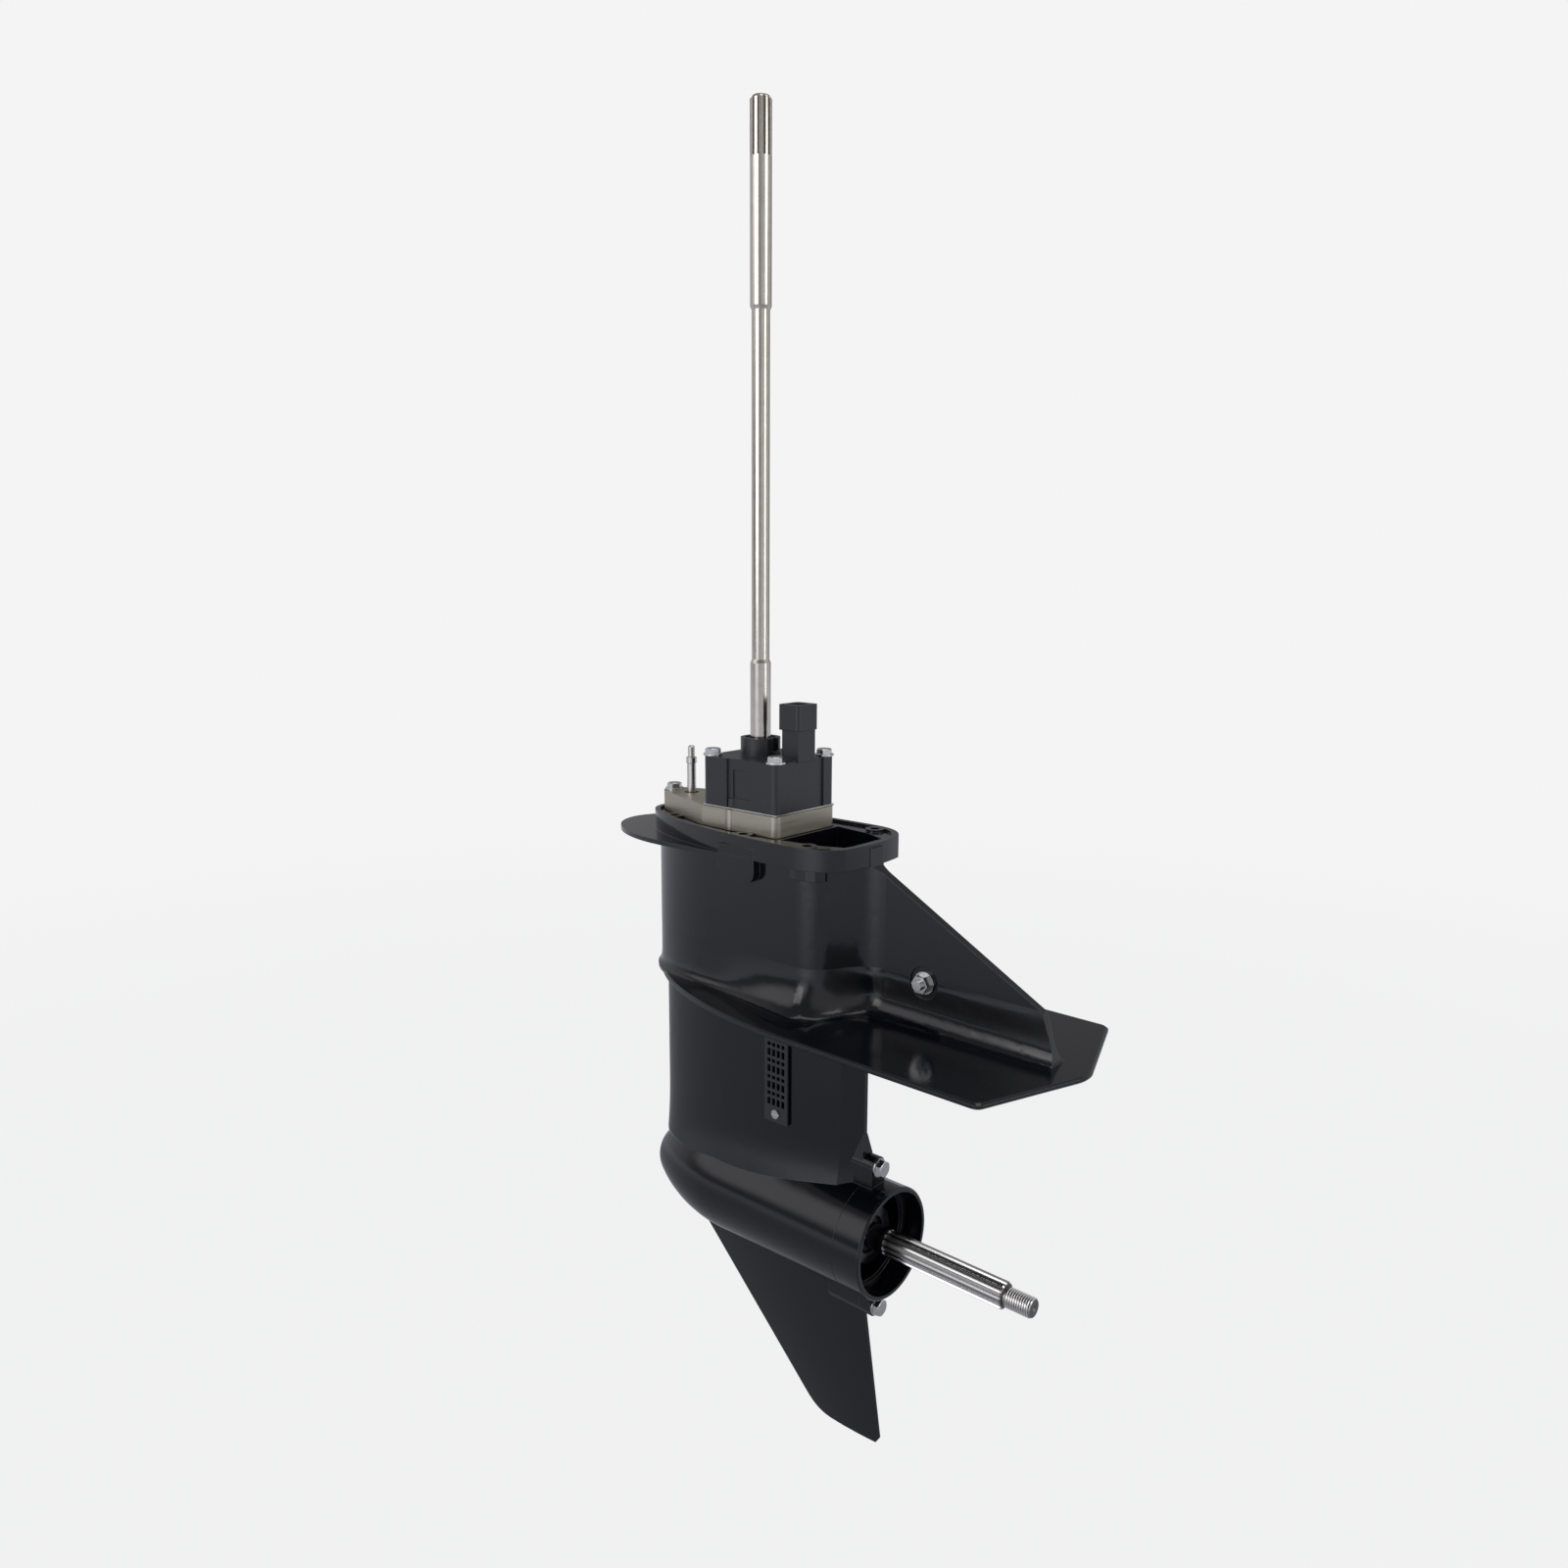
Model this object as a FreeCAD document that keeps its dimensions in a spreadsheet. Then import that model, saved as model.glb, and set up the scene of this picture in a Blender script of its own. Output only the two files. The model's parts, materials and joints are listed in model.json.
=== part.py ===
import FreeCAD, Part
import math
import os

import Sketcher
from FreeCAD import Placement, Rotation, Vector

# Outboard lower unit, in millimetres. The origin is on the driveshaft axis at the flange's top face.
# +X points aft, +Y to starboard and +Z up, and the propeller shaft lies prop_drop below the origin.

SIZES = (
    # General fits
    ("fit_gap", 0.03, "radial clearance of a seat or a running fit"),
    ("face_gap", 0.3, "clearance between parts that move past each other"),
    # Casting: heights
    ("prop_drop", 337, "flange top to propeller shaft axis"),
    ("flange_height", 18, "wall of the mounting flange"),
    ("deck_depth", 2, "deck below the flange rim"),
    ("splash_drop", 17, "flange top to splash plate top"),
    ("splash_thick", 4, "splash plate"),
    ("plate_drop", 138.5, "flange top to anti-ventilation plate top"),
    ("plate_thick", 5, "anti-ventilation plate"),
    ("root_height", 38, "height of the housing's hollow root on the plate, aft"),
    ("root_width", 26, "width of that root"),
    ("root_front", 9, "radius of the root where the rounded nose ends"),
    ("web_root", 15, "hollow root of the web on the plate"),
    ("blend_height", 75, "propeller axis to the start of the strut's lower flare"),
    ("blend_grow", 7.5, "how far the strut widens in that flare"),
    # Casting: plan
    ("flange_nose", 121, "flange, forward of the driveshaft"),
    ("flange_half", 56, "flange, half width"),
    ("flange_tail", 125, "flange, aft of the driveshaft"),
    ("flange_tail_half", 34.5, "half width of the flange at its aft corners"),
    ("rim_width", 5, "flange rim round the deck"),
    ("splash_nose", 161, "splash plate, forward of the driveshaft"),
    ("splash_half", 58, "splash plate, half width"),
    ("body_nose", 113, "leading edge of housing and strut"),
    ("body_half", 48, "upper housing, half width"),
    ("body_shoulder", 20, "where the rounded nose ends, forward of the driveshaft"),
    ("body_end", 82, "where the upper housing starts to narrow"),
    ("web_start", 138, "where the web has its own thickness"),
    ("web_top", 127, "upper end of the web's slanted edge"),
    ("web_half", 4.2, "web, half thickness at its start"),
    ("web_edge", 2.8, "web, half thickness at its aft end"),
    ("web_end", 291, "web foot, aft end"),
    ("web_crest", 279, "upper aft corner of the web"),
    ("web_crest_rise", 37, "that corner above the plate"),
    ("strut_half", 30, "strut, half width"),
    ("strut_tail", 119, "strut, trailing edge"),
    ("strut_bevel", 103, "start of the strut's trailing bevel"),
    ("strut_bevel_half", 15, "half width there"),
    ("plate_half", 95.5, "anti-ventilation plate, half width"),
    ("plate_lip", 2.5, "how far the plate stands out ahead of the leading edge"),
    ("plate_corner", 284, "aft corners of the plate"),
    ("plate_tip", 317.5, "aft tip of the plate"),
    # Casting: torpedo and skeg
    ("torpedo_nose", 120, "torpedo nose, forward of the driveshaft"),
    ("torpedo_radius", 48.5, "torpedo, largest radius"),
    ("torpedo_tip", 30, "radius of the torpedo's round tip"),
    ("torpedo_end", 121.6, "torpedo aft face, aft of the driveshaft"),
    ("torpedo_end_radius", 47.5, "torpedo radius at that face"),
    ("skeg_depth", 192, "propeller axis to the skeg's bottom"),
    ("skeg_toe", 66, "skeg leading edge at the bottom"),
    ("skeg_heel", 141, "skeg trailing edge at the bottom"),
    ("skeg_root_lead", 92, "skeg leading edge at the torpedo, forward"),
    ("skeg_root_trail", 116, "skeg trailing edge at the torpedo, aft"),
    ("skeg_thick", 13, "skeg thickness at the torpedo"),
    ("skeg_tip_thick", 5, "skeg thickness at the bottom"),
    # Shafts
    ("shaft_top", 576, "flange top to driveshaft end"),
    ("shaft_radius", 8.75, "driveshaft journals"),
    ("shaft_waist", 7.45, "slim length of the driveshaft"),
    ("waist_low", 136.5, "lower end of the slim length"),
    ("waist_high", 421, "upper end of the slim length"),
    ("spline_length", 44, "driveshaft spline"),
    ("spline_depth", 1.4, "depth of the driveshaft spline"),
    ("spline_count", 12, "teeth of the driveshaft spline"),
    ("cone_seat_radius", 11, "driveshaft at its taper bearing"),
    ("tail_radius", 10.75, "propeller shaft spline"),
    ("tail_spline_count", 13, "teeth of the propeller shaft spline"),
    ("tail_spline_depth", 1.5, "depth of the propeller shaft spline"),
    ("tail_spline_start", 146, "forward end of that spline"),
    ("tail_spline_end", 256.8, "aft end of that spline"),
    ("tail_end", 281, "propeller shaft end"),
    ("thread_radius", 8, "propeller nut thread"),
    ("journal_radius", 9.5, "propeller shaft inside the gears"),
    ("front_end", 62, "propeller shaft's forward end"),
    ("plunger_radius", 4.9, "shift plunger"),
    # Bevel gears
    ("pinion_teeth", 13, "teeth on the driveshaft pinion"),
    ("gear_teeth", 24, "teeth on each large gear"),
    ("tooth_module", 3.16, "pitch diameter over teeth at the heel"),
    ("face_width", 14, "tooth length along the cone"),
    ("tooth_play", 0.35, "backlash at the heel"),
    ("gear_back", 27, "back of a large gear from the driveshaft axis"),
    ("hub_face", 18.5, "hub face of a large gear from the driveshaft axis"),
    ("hub_end", 58, "hub end of a large gear from the driveshaft axis"),
    ("hub_radius", 17, "hub of a large gear"),
    ("pinion_seat", 27.4, "pinion nut seat above the propeller axis"),
    ("pinion_top", 48, "pinion hub top above the propeller axis"),
    ("lug_height", 3.7, "clutch lugs on gears and clutch"),
    ("lug_inner", 10.6, "inner radius of the lugs"),
    ("clutch_radius", 17, "clutch dog"),
    ("clutch_half", 7.3, "half length of the clutch dog's body"),
    ("clutch_travel", 3.5, "clutch travel each way"),
    ("pin_radius", 2.5, "clutch cross pin"),
    # Bearings
    ("gear_cup_radius", 34, "outer radius of the large gears' bearings"),
    ("gear_cup_start", 41, "near face of those bearings"),
    ("gear_cup_width", 15, "width of those bearings"),
    ("shaft_cup_radius", 24, "outer radius of the driveshaft taper bearing"),
    ("shaft_cup_width", 16, "its width"),
    ("needle_radius", 15, "outer radius of the carrier's needle bearing"),
    ("shaft_bore", 14, "driveshaft bore of the casting"),
    # Carrier
    ("carrier_bore", 42.5, "bore of the torpedo"),
    ("carrier_front", 38.5, "carrier's forward face"),
    ("carrier_hub", 24, "carrier hub, outer radius"),
    ("carrier_hub_end", 127, "carrier hub's aft end"),
    ("ring_end", 148.6, "carrier ring's aft rim"),
    ("ring_wall", 4.5, "wall of the carrier ring"),
    ("ear_reach", 63, "carrier bolts, from the propeller axis"),
    ("ear_half", 9, "half width of a carrier ear"),
    ("ear_thick", 11, "thickness of a carrier ear"),
    # Water pump
    ("gasket_thick", 0.5, "paper gaskets"),
    ("base_height", 17.3, "pump base"),
    ("wear_thick", 1, "wear plate"),
    ("pump_height", 41.5, "pump housing"),
    ("pump_front", 33, "pump housing, forward of the driveshaft"),
    ("pump_back", 51.5, "pump housing, aft of the driveshaft"),
    ("pump_half", 37.5, "pump housing, half width"),
    ("pump_bolt_inset", 6.6, "pump bolts, in from the housing's sides"),
    ("panel_front", 4, "side panels of the pump housing, forward of the driveshaft"),
    ("panel_step", 1.5, "depth of those panels"),
    ("chamber_radius", 26, "pump chamber in the housing"),
    ("chamber_height", 22, "height of that chamber"),
    ("chamber_offset", 2, "chamber axis aft of the driveshaft"),
    ("liner_wall", 1.2, "wall of the pump liner"),
    ("impeller_radius", 22, "impeller over its vane tips"),
    ("neck_radius", 17, "collar round the driveshaft"),
    ("neck_height", 15, "that collar above the housing"),
    ("tower_front", 32.5, "water outlet, forward face"),
    ("tower_half", 10.75, "water outlet, half width"),
    ("tower_lip", 2, "how far its collar stands out"),
    ("tower_height", 46, "water outlet above the housing"),
    ("tower_collar", 21, "height of its collar"),
    ("tower_bore", 8.5, "seat of the water outlet's rubber seal"),
    ("seal_length", 18, "length of that seal"),
    ("water_bore", 6.5, "bore of the outlet's rubber seal"),
    # Shift linkage
    ("shift_place", 84.5, "shift rod, forward of the driveshaft"),
    ("shift_radius", 4, "shift rod"),
    ("shift_top", 58, "shift rod's upper end"),
    ("shift_travel", 8, "shift rod travel each way"),
    ("cam_radius", 11, "shift cam barrel"),
    ("cam_half", 13, "half length of the slotted part of the shift cam"),
    ("cam_cap", 6, "the cam's cap, which holds the shift rod"),
    ("knob_radius", 4.5, "ball end of the shift plunger"),
    # Inlets and fasteners
    ("inlet_front", 31, "water inlet cover, forward edge"),
    ("inlet_back", 57, "water inlet cover, aft edge"),
    ("inlet_low", 84, "cover's lower edge above the propeller axis"),
    ("inlet_high", 176, "cover's upper edge above the propeller axis"),
    ("inlet_thick", 2, "water inlet cover"),
    ("inlet_face", 28.5, "cover's outer face from the centre plane"),
    ("mount_hole", 4.2, "flange bolt holes, radius"),
    ("mount_depth", 26, "depth of the flange bolt holes"),
    ("pad_drop", 28, "underside of the aft bolt pads, below the flange top"),
    ("pad_end", 104, "aft face of those pads"),
    ("boss_half", 20, "half length of the bolt bosses under the flange's sides"),
    ("boss_reach", 55.5, "how far those bosses reach from the centre plane"),
    ("boss_drop", 38, "underside of those bosses, below the flange top"),
    ("mount_aft", 90, "aft flange holes"),
    ("mount_aft_half", 44, "half spacing of the aft flange holes"),
    ("mount_mid", 23, "middle flange holes"),
    ("mount_mid_half", 46, "half spacing of the middle flange holes"),
    ("mount_front", 76, "front flange holes, forward"),
    ("mount_front_half", 29, "half spacing of the front flange holes"),
    ("stud_place", 176, "web bolt, aft of the driveshaft"),
    ("stud_drop", 103, "web bolt below the flange top"),
    ("stud_flats", 6.5, "half the width across flats of its head and nut"),
    ("stud_washer", 9, "radius of its washers"),
    ("web_dish", 1.5, "depth of the round seat on either side of the web"),
    ("dish_radius", 13, "radius of that seat"),
    ("small_bolt", 3, "radius of an M6 bolt"),
    ("small_head", 6, "half the width across flats of its head"),
    ("small_washer", 8.2, "radius of an M6 washer"),
    ("washer_thick", 1.5, "washers"),
    ("large_bolt", 4, "radius of an M8 bolt"),
    ("large_head", 6.5, "half the width across flats of its head"),
    ("large_washer", 9, "radius of an M8 washer"),
    ("base_bolt_place", 107, "pump base bolt, forward of the driveshaft"),
    ("dowel_radius", 3, "dowel pins"),
    ("dowel_place", 50, "dowel pins, forward of the driveshaft"),
    ("dowel_half", 20, "half spacing of the dowel pins"),
    ("plug_place", 58, "oil plugs, forward of the driveshaft"),
    ("plug_radius", 5, "oil plug thread"),
    ("plug_head", 7, "oil plug head"),
    ("level_rise", 158, "oil level plug above the propeller axis"),
)

os.makedirs("parts", exist_ok=True)
doc = FreeCAD.newDocument("LowerUnit")
sheet = doc.addObject("Spreadsheet::Sheet", "Sizes")
for row, (alias, amount, meaning) in enumerate(SIZES, start=1):
    sheet.set(f"A{row}", meaning)
    sheet.set(f"B{row}", str(amount))
    sheet.setAlias(f"B{row}", alias)
doc.recompute()


class Size:
    """A length together with the sheet formula that gives it."""

    def __init__(self, value, formula):
        self.value = float(value)
        self.formula = formula

    def __float__(self):
        return self.value

    def __add__(self, other):
        other = as_size(other)
        return Size(self.value + other.value, f"({self.formula} + {other.formula})")

    def __radd__(self, other):
        return as_size(other) + self

    def __sub__(self, other):
        other = as_size(other)
        return Size(self.value - other.value, f"({self.formula} - {other.formula})")

    def __rsub__(self, other):
        return as_size(other) - self

    def __mul__(self, other):
        other = as_size(other)
        return Size(self.value * other.value, f"({self.formula} * {other.formula})")

    def __rmul__(self, other):
        return as_size(other) * self

    def __neg__(self):
        return Size(-self.value, f"(0 - {self.formula})")


def as_size(amount):
    """A plain number becomes a size with a constant formula."""
    return amount if isinstance(amount, Size) else Size(amount, repr(float(amount)))


class Sheet:
    """Each alias of the sheet as a bound size."""

    def __getattr__(self, alias):
        return Size(sheet.get(alias), f"Sizes.{alias}")


class Numbers:
    """Each alias of the sheet as a plain number."""

    def __getattr__(self, alias):
        return float(sheet.get(alias))


S = Sheet()
N = Numbers()
NODES = []

# Heights that several pieces share
DECK = -S.deck_depth
BASE_LOW = DECK + S.gasket_thick
BASE_TOP = BASE_LOW + S.base_height
PUMP_LOW = BASE_TOP + S.gasket_thick + S.wear_thick
PUMP_TOP = PUMP_LOW + S.pump_height
AXIS = -S.prop_drop
COG = Vector(0, 0, float(AXIS))


def bind(thing, place, size):
    """Set a property path of an object from the sheet."""
    thing.setExpression(place, as_size(size).formula)


def keep(thing, label):
    """List a finished sub-part under its own label."""
    thing.Label = label
    NODES.append(thing)
    return thing


def new_body(label):
    return keep(doc.addObject("PartDesign::Body", label), label)


def on_prop_axis(body, aft=True):
    """Turn a piece that was made upright so that its axis lies along the propeller shaft."""
    body.Placement = Placement(COG, Rotation(Vector(0, 1, 0), 90 if aft else -90))
    bind(body, "Placement.Base.z", AXIS)


def new_sketch(body, plane, offset=None):
    """A sketch on one of the body's own origin planes, or parallel to it."""
    sketch = body.newObject("Sketcher::SketchObject", body.Name + "_sketch")
    support = next(f for f in body.Origin.OriginFeatures if f.Role == plane)
    sketch.AttachmentSupport = [(support, "")]
    sketch.MapMode = "FlatFace"
    if offset is not None:
        sketch.AttachmentOffset = Placement(Vector(0, 0, float(offset)), Rotation())
        bind(sketch, "AttachmentOffset.Base.z", offset)
    return sketch


def tie(sketch, kind, index, point, size):
    """Hold a point of the sketch at a distance from the origin."""
    number = sketch.addConstraint(
        Sketcher.Constraint(kind, -1, 1, index, point, float(as_size(size)))
    )
    bind(sketch, f"Constraints[{number}]", size)


def draw_outline(sketch, corners):
    """A closed outline of straight lines, each corner bound to the sheet."""
    spots = [Vector(float(as_size(a)), float(as_size(b)), 0) for a, b in corners]
    first = sketch.GeometryCount
    count = len(spots)
    for index, spot in enumerate(spots):
        sketch.addGeometry(Part.LineSegment(spot, spots[(index + 1) % count]), False)
    for index, (across, up) in enumerate(corners):
        before = first + (index - 1) % count
        sketch.addConstraint(Sketcher.Constraint("Coincident", before, 2, first + index, 1))
        tie(sketch, "DistanceX", first + index, 1, across)
        tie(sketch, "DistanceY", first + index, 1, up)


def draw_circle(sketch, across, up, radius):
    centre = Vector(float(as_size(across)), float(as_size(up)), 0)
    index = sketch.addGeometry(
        Part.Circle(centre, Vector(0, 0, 1), float(as_size(radius))), False
    )
    tie(sketch, "DistanceX", index, 3, across)
    tie(sketch, "DistanceY", index, 3, up)
    number = sketch.addConstraint(Sketcher.Constraint("Radius", index, float(as_size(radius))))
    bind(sketch, f"Constraints[{number}]", radius)


def rectangle(x_low, x_high, y_low, y_high):
    return [(x_low, y_low), (x_high, y_low), (x_high, y_high), (x_low, y_high)]


def hexagon(across, up, half_flats):
    """Corners of a hexagon from half its width across flats."""
    reach = as_size(half_flats) * (1 / math.cos(math.radians(30)))
    corners = []
    for turn in range(6):
        angle = math.radians(60 * turn)
        corners.append((across + reach * math.cos(angle), up + reach * math.sin(angle)))
    return corners


def revolve(body, corners):
    """Turn a half section, given as (radius, height) corners, about the body's own Z axis."""
    sketch = new_sketch(body, "XZ_Plane")
    draw_outline(sketch, corners)
    turned = body.newObject("PartDesign::Revolution", body.Name + "_turned")
    turned.Profile = sketch
    turned.ReferenceAxis = (sketch, ["V_Axis"])
    turned.Angle = 360
    sketch.Visibility = False
    return turned


def pad(body, low, height, corners=None, circle=None):
    """Raise an outline or a circle from a height of the XY plane."""
    sketch = new_sketch(body, "XY_Plane", low)
    if corners:
        draw_outline(sketch, corners)
    if circle:
        draw_circle(sketch, *circle)
    raised = body.newObject("PartDesign::Pad", body.Name + "_pad")
    raised.Profile = sketch
    raised.Length = float(as_size(height))
    bind(raised, "Length", height)
    return raised


def pocket(body, high, depth, corners=None, circles=()):
    """Sink an outline or some circles downwards from a height of the XY plane."""
    sketch = new_sketch(body, "XY_Plane", high)
    if corners:
        draw_outline(sketch, corners)
    for circle in circles:
        draw_circle(sketch, *circle)
    sunk = body.newObject("PartDesign::Pocket", body.Name + "_pocket")
    sunk.Profile = sketch
    sunk.Length = float(as_size(depth))
    bind(sunk, "Length", depth)
    return sunk


def repeat_round(body, feature, count):
    """Repeat a feature round the body's own Z axis."""
    doc.recompute()
    pattern = body.newObject("PartDesign::PolarPattern", body.Name + "_pattern")
    pattern.Originals = [feature]
    pattern.Axis = (next(f for f in body.Origin.OriginFeatures if f.Role == "Z_Axis"), [""])
    pattern.Angle = 360
    pattern.Occurrences = int(float(as_size(count)))
    if isinstance(count, Size):
        bind(pattern, "Occurrences", count)
    body.Tip = pattern
    return pattern


def round_edges(body, feature, radius, chosen):
    """Round the edges of a feature that the test picks."""
    doc.recompute()
    names = [f"Edge{n}" for n, edge in enumerate(feature.Shape.Edges, start=1) if chosen(edge)]
    rounded = body.newObject("PartDesign::Fillet", body.Name + "_round")
    rounded.Base = (feature, names)
    rounded.Radius = float(as_size(radius))
    bind(rounded, "Radius", radius)
    return rounded


def upright(edge):
    """Whether an edge runs straight up."""
    ends = [vertex.Point for vertex in edge.Vertexes]
    return len(ends) == 2 and abs(ends[0].x - ends[1].x) + abs(ends[0].y - ends[1].y) < 1e-6


def ring(label, inner, outer, low, high):
    """A plain turned ring."""
    body = new_body(label)
    revolve(body, [(inner, low), (outer, low), (outer, high), (inner, high)])
    return body


def free_shape(label, shape):
    """A sub-part whose shape is worked out with surface functions from the sheet."""
    feature = doc.addObject("Part::Feature", label)
    feature.Shape = shape
    feature.Placement = Placement()
    return keep(feature, label)


def group(label, seed, places):
    """Like pieces in one node: separate solids, each a copy of the seed at its own place."""
    copies = []
    for place in places:
        copy = seed.copy()
        copy.Placement = place.multiply(copy.Placement)
        copies.append(copy)
    return free_shape(label, Part.makeCompound(copies))


def at(x, y, z, rotation=None):
    return Placement(Vector(x, y, z), rotation or Rotation())


# Surface helpers for the casting and the gears

def line(start, end):
    return Part.LineSegment(Vector(*start), Vector(*end)).toShape()


def curve(*poles):
    """A Bezier edge through its first and last pole."""
    bezier = Part.BezierCurve()
    bezier.setPoles([Vector(*pole) for pole in poles])
    return bezier.toShape()


def outline_wire(points, z):
    """A closed wire of straight edges at one height."""
    spots = [Vector(x, y, z) for x, y in points]
    return Part.makePolygon(spots + spots[:1])


def mirrored(points):
    """Complete a port-side outline, nose to tail, with its starboard half."""
    return points + [(x, -y) for x, y in reversed(points) if abs(y) > 1e-9]


def prism(wire, height):
    return Part.Face(wire).extrude(Vector(0, 0, height))


def box(x_low, x_high, y_low, y_high, z_low, z_high):
    size = (x_high - x_low, y_high - y_low, z_high - z_low)
    return Part.makeBox(*size, Vector(x_low, y_low, z_low))


def rod(radius, start, end):
    """A cylinder between two points."""
    way = Vector(*end) - Vector(*start)
    return Part.makeCylinder(radius, way.Length, Vector(*start), way)


def turned_on_axis(corners):
    """Turn a half section of (x, radius) corners about the propeller axis."""
    spots = [Vector(x, 0, r) for x, r in corners]
    face = Part.Face(Part.makePolygon(spots + spots[:1]))
    solid = face.revolve(Vector(0, 0, 0), Vector(1, 0, 0), 360)
    solid.translate(COG)
    return solid


QUARTER = 0.5523  # pole distance that makes a Bezier quarter round


def nose_edges(shoulder, nose, half, z):
    """Port and starboard quarter ellipses from the widest place to the leading edge."""
    reach = (shoulder - nose) * QUARTER
    lift = half * QUARTER
    port = curve((shoulder, -half, z), (shoulder - reach, -half, z), (nose, -lift, z), (nose, 0, z))
    starboard = curve((nose, 0, z), (nose, lift, z), (shoulder - reach, half, z), (shoulder, half, z))
    return [port, starboard]


def hollow(height, width, above):
    """How far a hollow root reaches out at a height above its foot."""
    share = max(0, 1 - above / height)
    return width - width * math.sqrt(1 - share ** 2)


def body_section(z, above):
    """Section of the upper housing: rounded nose, flat sides, and a smooth waist into the web."""
    half = N.body_half + hollow(N.root_height, N.root_width, above)
    half_front = N.body_half + hollow(N.root_front, N.root_front, above)
    web = N.web_half + hollow(N.web_root, N.web_root, above)
    edge = N.web_edge + hollow(N.web_root, N.web_root, above) * 0.5
    front, end, start, tail = -N.body_shoulder, N.body_end, N.web_start, N.web_end + N.web_root
    swell = (end - front) / 3
    lead = (start - end) * 0.55
    starboard_side = [
        curve((front, half_front, z), (front + swell, half_front, z), (end - swell, half, z), (end, half, z)),
        curve((end, half, z), (end + lead, half, z), (start - lead, web, z), (start, web, z)),
        line((start, web, z), (tail, edge, z)),
    ]
    port_side = [
        line((tail, -edge, z), (start, -web, z)),
        curve((start, -web, z), (start - lead, -web, z), (end + lead, -half, z), (end, -half, z)),
        curve((end, -half, z), (end - swell, -half, z), (front + swell, -half_front, z),
              (front, -half_front, z)),
    ]
    aft = line((tail, edge, z), (tail, -edge, z))
    nose = nose_edges(front, -N.body_nose, half_front, z)
    return Part.Wire(port_side + nose + starboard_side + [aft])


def upper_housing():
    """Housing above the plate: a straight upper part, then a hollow flare onto the plate."""
    plate_top = -N.plate_drop
    height = N.root_height
    shaft = Part.makeLoft(
        [body_section(-N.deck_depth - 1, height), body_section(plate_top + height, height)], True, True
    )
    foot = []
    for share in (1, 0.6, 0.3, 0.1, 0):
        above = height * share
        foot.append(body_section(plate_top + above, above))
    flare = Part.makeLoft(foot, True, False)
    sunk = N.plate_thick * 0.6
    foot_pad = prism(body_section(plate_top - sunk, 0), sunk)
    return shaft.fuse([flare, foot_pad])


def web_clearance():
    """Everything aft of the web's slanted back edge."""
    plate_top = -N.plate_drop
    crest = plate_top + N.web_crest_rise
    top_x = N.web_top
    far = N.web_end + 100
    side = [
        (top_x, -N.flange_height),
        (N.web_crest, crest),
        (N.web_end, plate_top),
        (N.web_end, plate_top - N.plate_thick),
        (far, plate_top - N.plate_thick),
        (far, 1),
        (top_x, 1),
    ]
    spots = [Vector(x, -N.plate_half, z) for x, z in side]
    face = Part.Face(Part.makePolygon(spots + spots[:1]))
    return face.extrude(Vector(0, 2 * N.plate_half, 0))


def strut_section(z, grow):
    """Section of the strut below the plate, with its bevelled trailing edge."""
    half = N.strut_half + grow
    bevel_half = N.strut_bevel_half + grow
    edge = 2.0 + grow
    front, bevel, tail = -N.body_shoulder, N.strut_bevel, N.strut_tail
    run = bevel - front
    port = [
        line((tail, -edge, z), (bevel, -bevel_half, z)),
        curve(
            (bevel, -bevel_half, z),
            (bevel - run * 0.3, -bevel_half - (half - bevel_half) * 0.65, z),
            (front + run * 0.45, -half, z),
            (front, -half, z),
        ),
    ]
    starboard = [
        curve(
            (front, half, z),
            (front + run * 0.45, half, z),
            (bevel - run * 0.3, bevel_half + (half - bevel_half) * 0.65, z),
            (bevel, bevel_half, z),
        ),
        line((bevel, bevel_half, z), (tail, edge, z)),
    ]
    aft = line((tail, edge, z), (tail, -edge, z))
    nose = nose_edges(front, -N.body_nose, half, z)
    return Part.Wire(port + nose + starboard + [aft])


def strut():
    """Straight strut, then a flare that runs tangent onto the torpedo."""
    top = -N.plate_drop - N.plate_thick * 0.4
    start = N.blend_height - N.prop_drop
    straight = Part.makeLoft([strut_section(top, 0), strut_section(start, 0)], True, True)
    steps = [0, 0.35, 0.7, 1]
    low = N.torpedo_radius * 0.6
    flare = Part.makeLoft(
        [
            strut_section(start - (N.blend_height - low) * step, N.blend_grow * step ** 2)
            for step in steps
        ],
        True,
        False,
    )
    foot = Part.makeLoft(
        [strut_section(low - N.prop_drop, N.blend_grow), strut_section(-N.prop_drop, 0)], True, True
    )
    return straight.fuse([flare, foot])


def torpedo():
    """Bullet round the propeller axis: a round tip, a long flank arc and a slight taper aft."""
    shoulder, radius, tip = -N.body_shoulder, N.torpedo_radius, N.torpedo_tip
    length = shoulder + N.torpedo_nose
    flank = (length ** 2 + radius ** 2 - 2 * length * tip) / (2 * (radius - tip))
    lean = math.atan2(length - tip, flank - radius)
    tip_centre = -N.torpedo_nose + tip

    def on_tip(angle):
        return Vector(tip_centre - tip * math.sin(angle), 0, tip * math.cos(angle))

    def on_flank(angle):
        return Vector(shoulder - flank * math.sin(angle), 0, radius - flank + flank * math.cos(angle))

    flat = math.acos(0.05)
    front, joint = on_tip(flat), on_tip(lean)
    edges = [
        line((front.x, 0, 0), (front.x, 0, front.z)),
        Part.Arc(front, on_tip((lean + flat) / 2), joint).toShape(),
        Part.Arc(joint, on_flank(lean / 2), on_flank(0)).toShape(),
        line((shoulder, 0, radius), (N.torpedo_end, 0, N.torpedo_end_radius)),
        line((N.torpedo_end, 0, N.torpedo_end_radius), (N.torpedo_end, 0, 0)),
        line((N.torpedo_end, 0, 0), (front.x, 0, 0)),
    ]
    solid = Part.Face(Part.Wire(edges)).revolve(Vector(0, 0, 0), Vector(1, 0, 0), 360)
    solid.translate(COG)
    return solid


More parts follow.
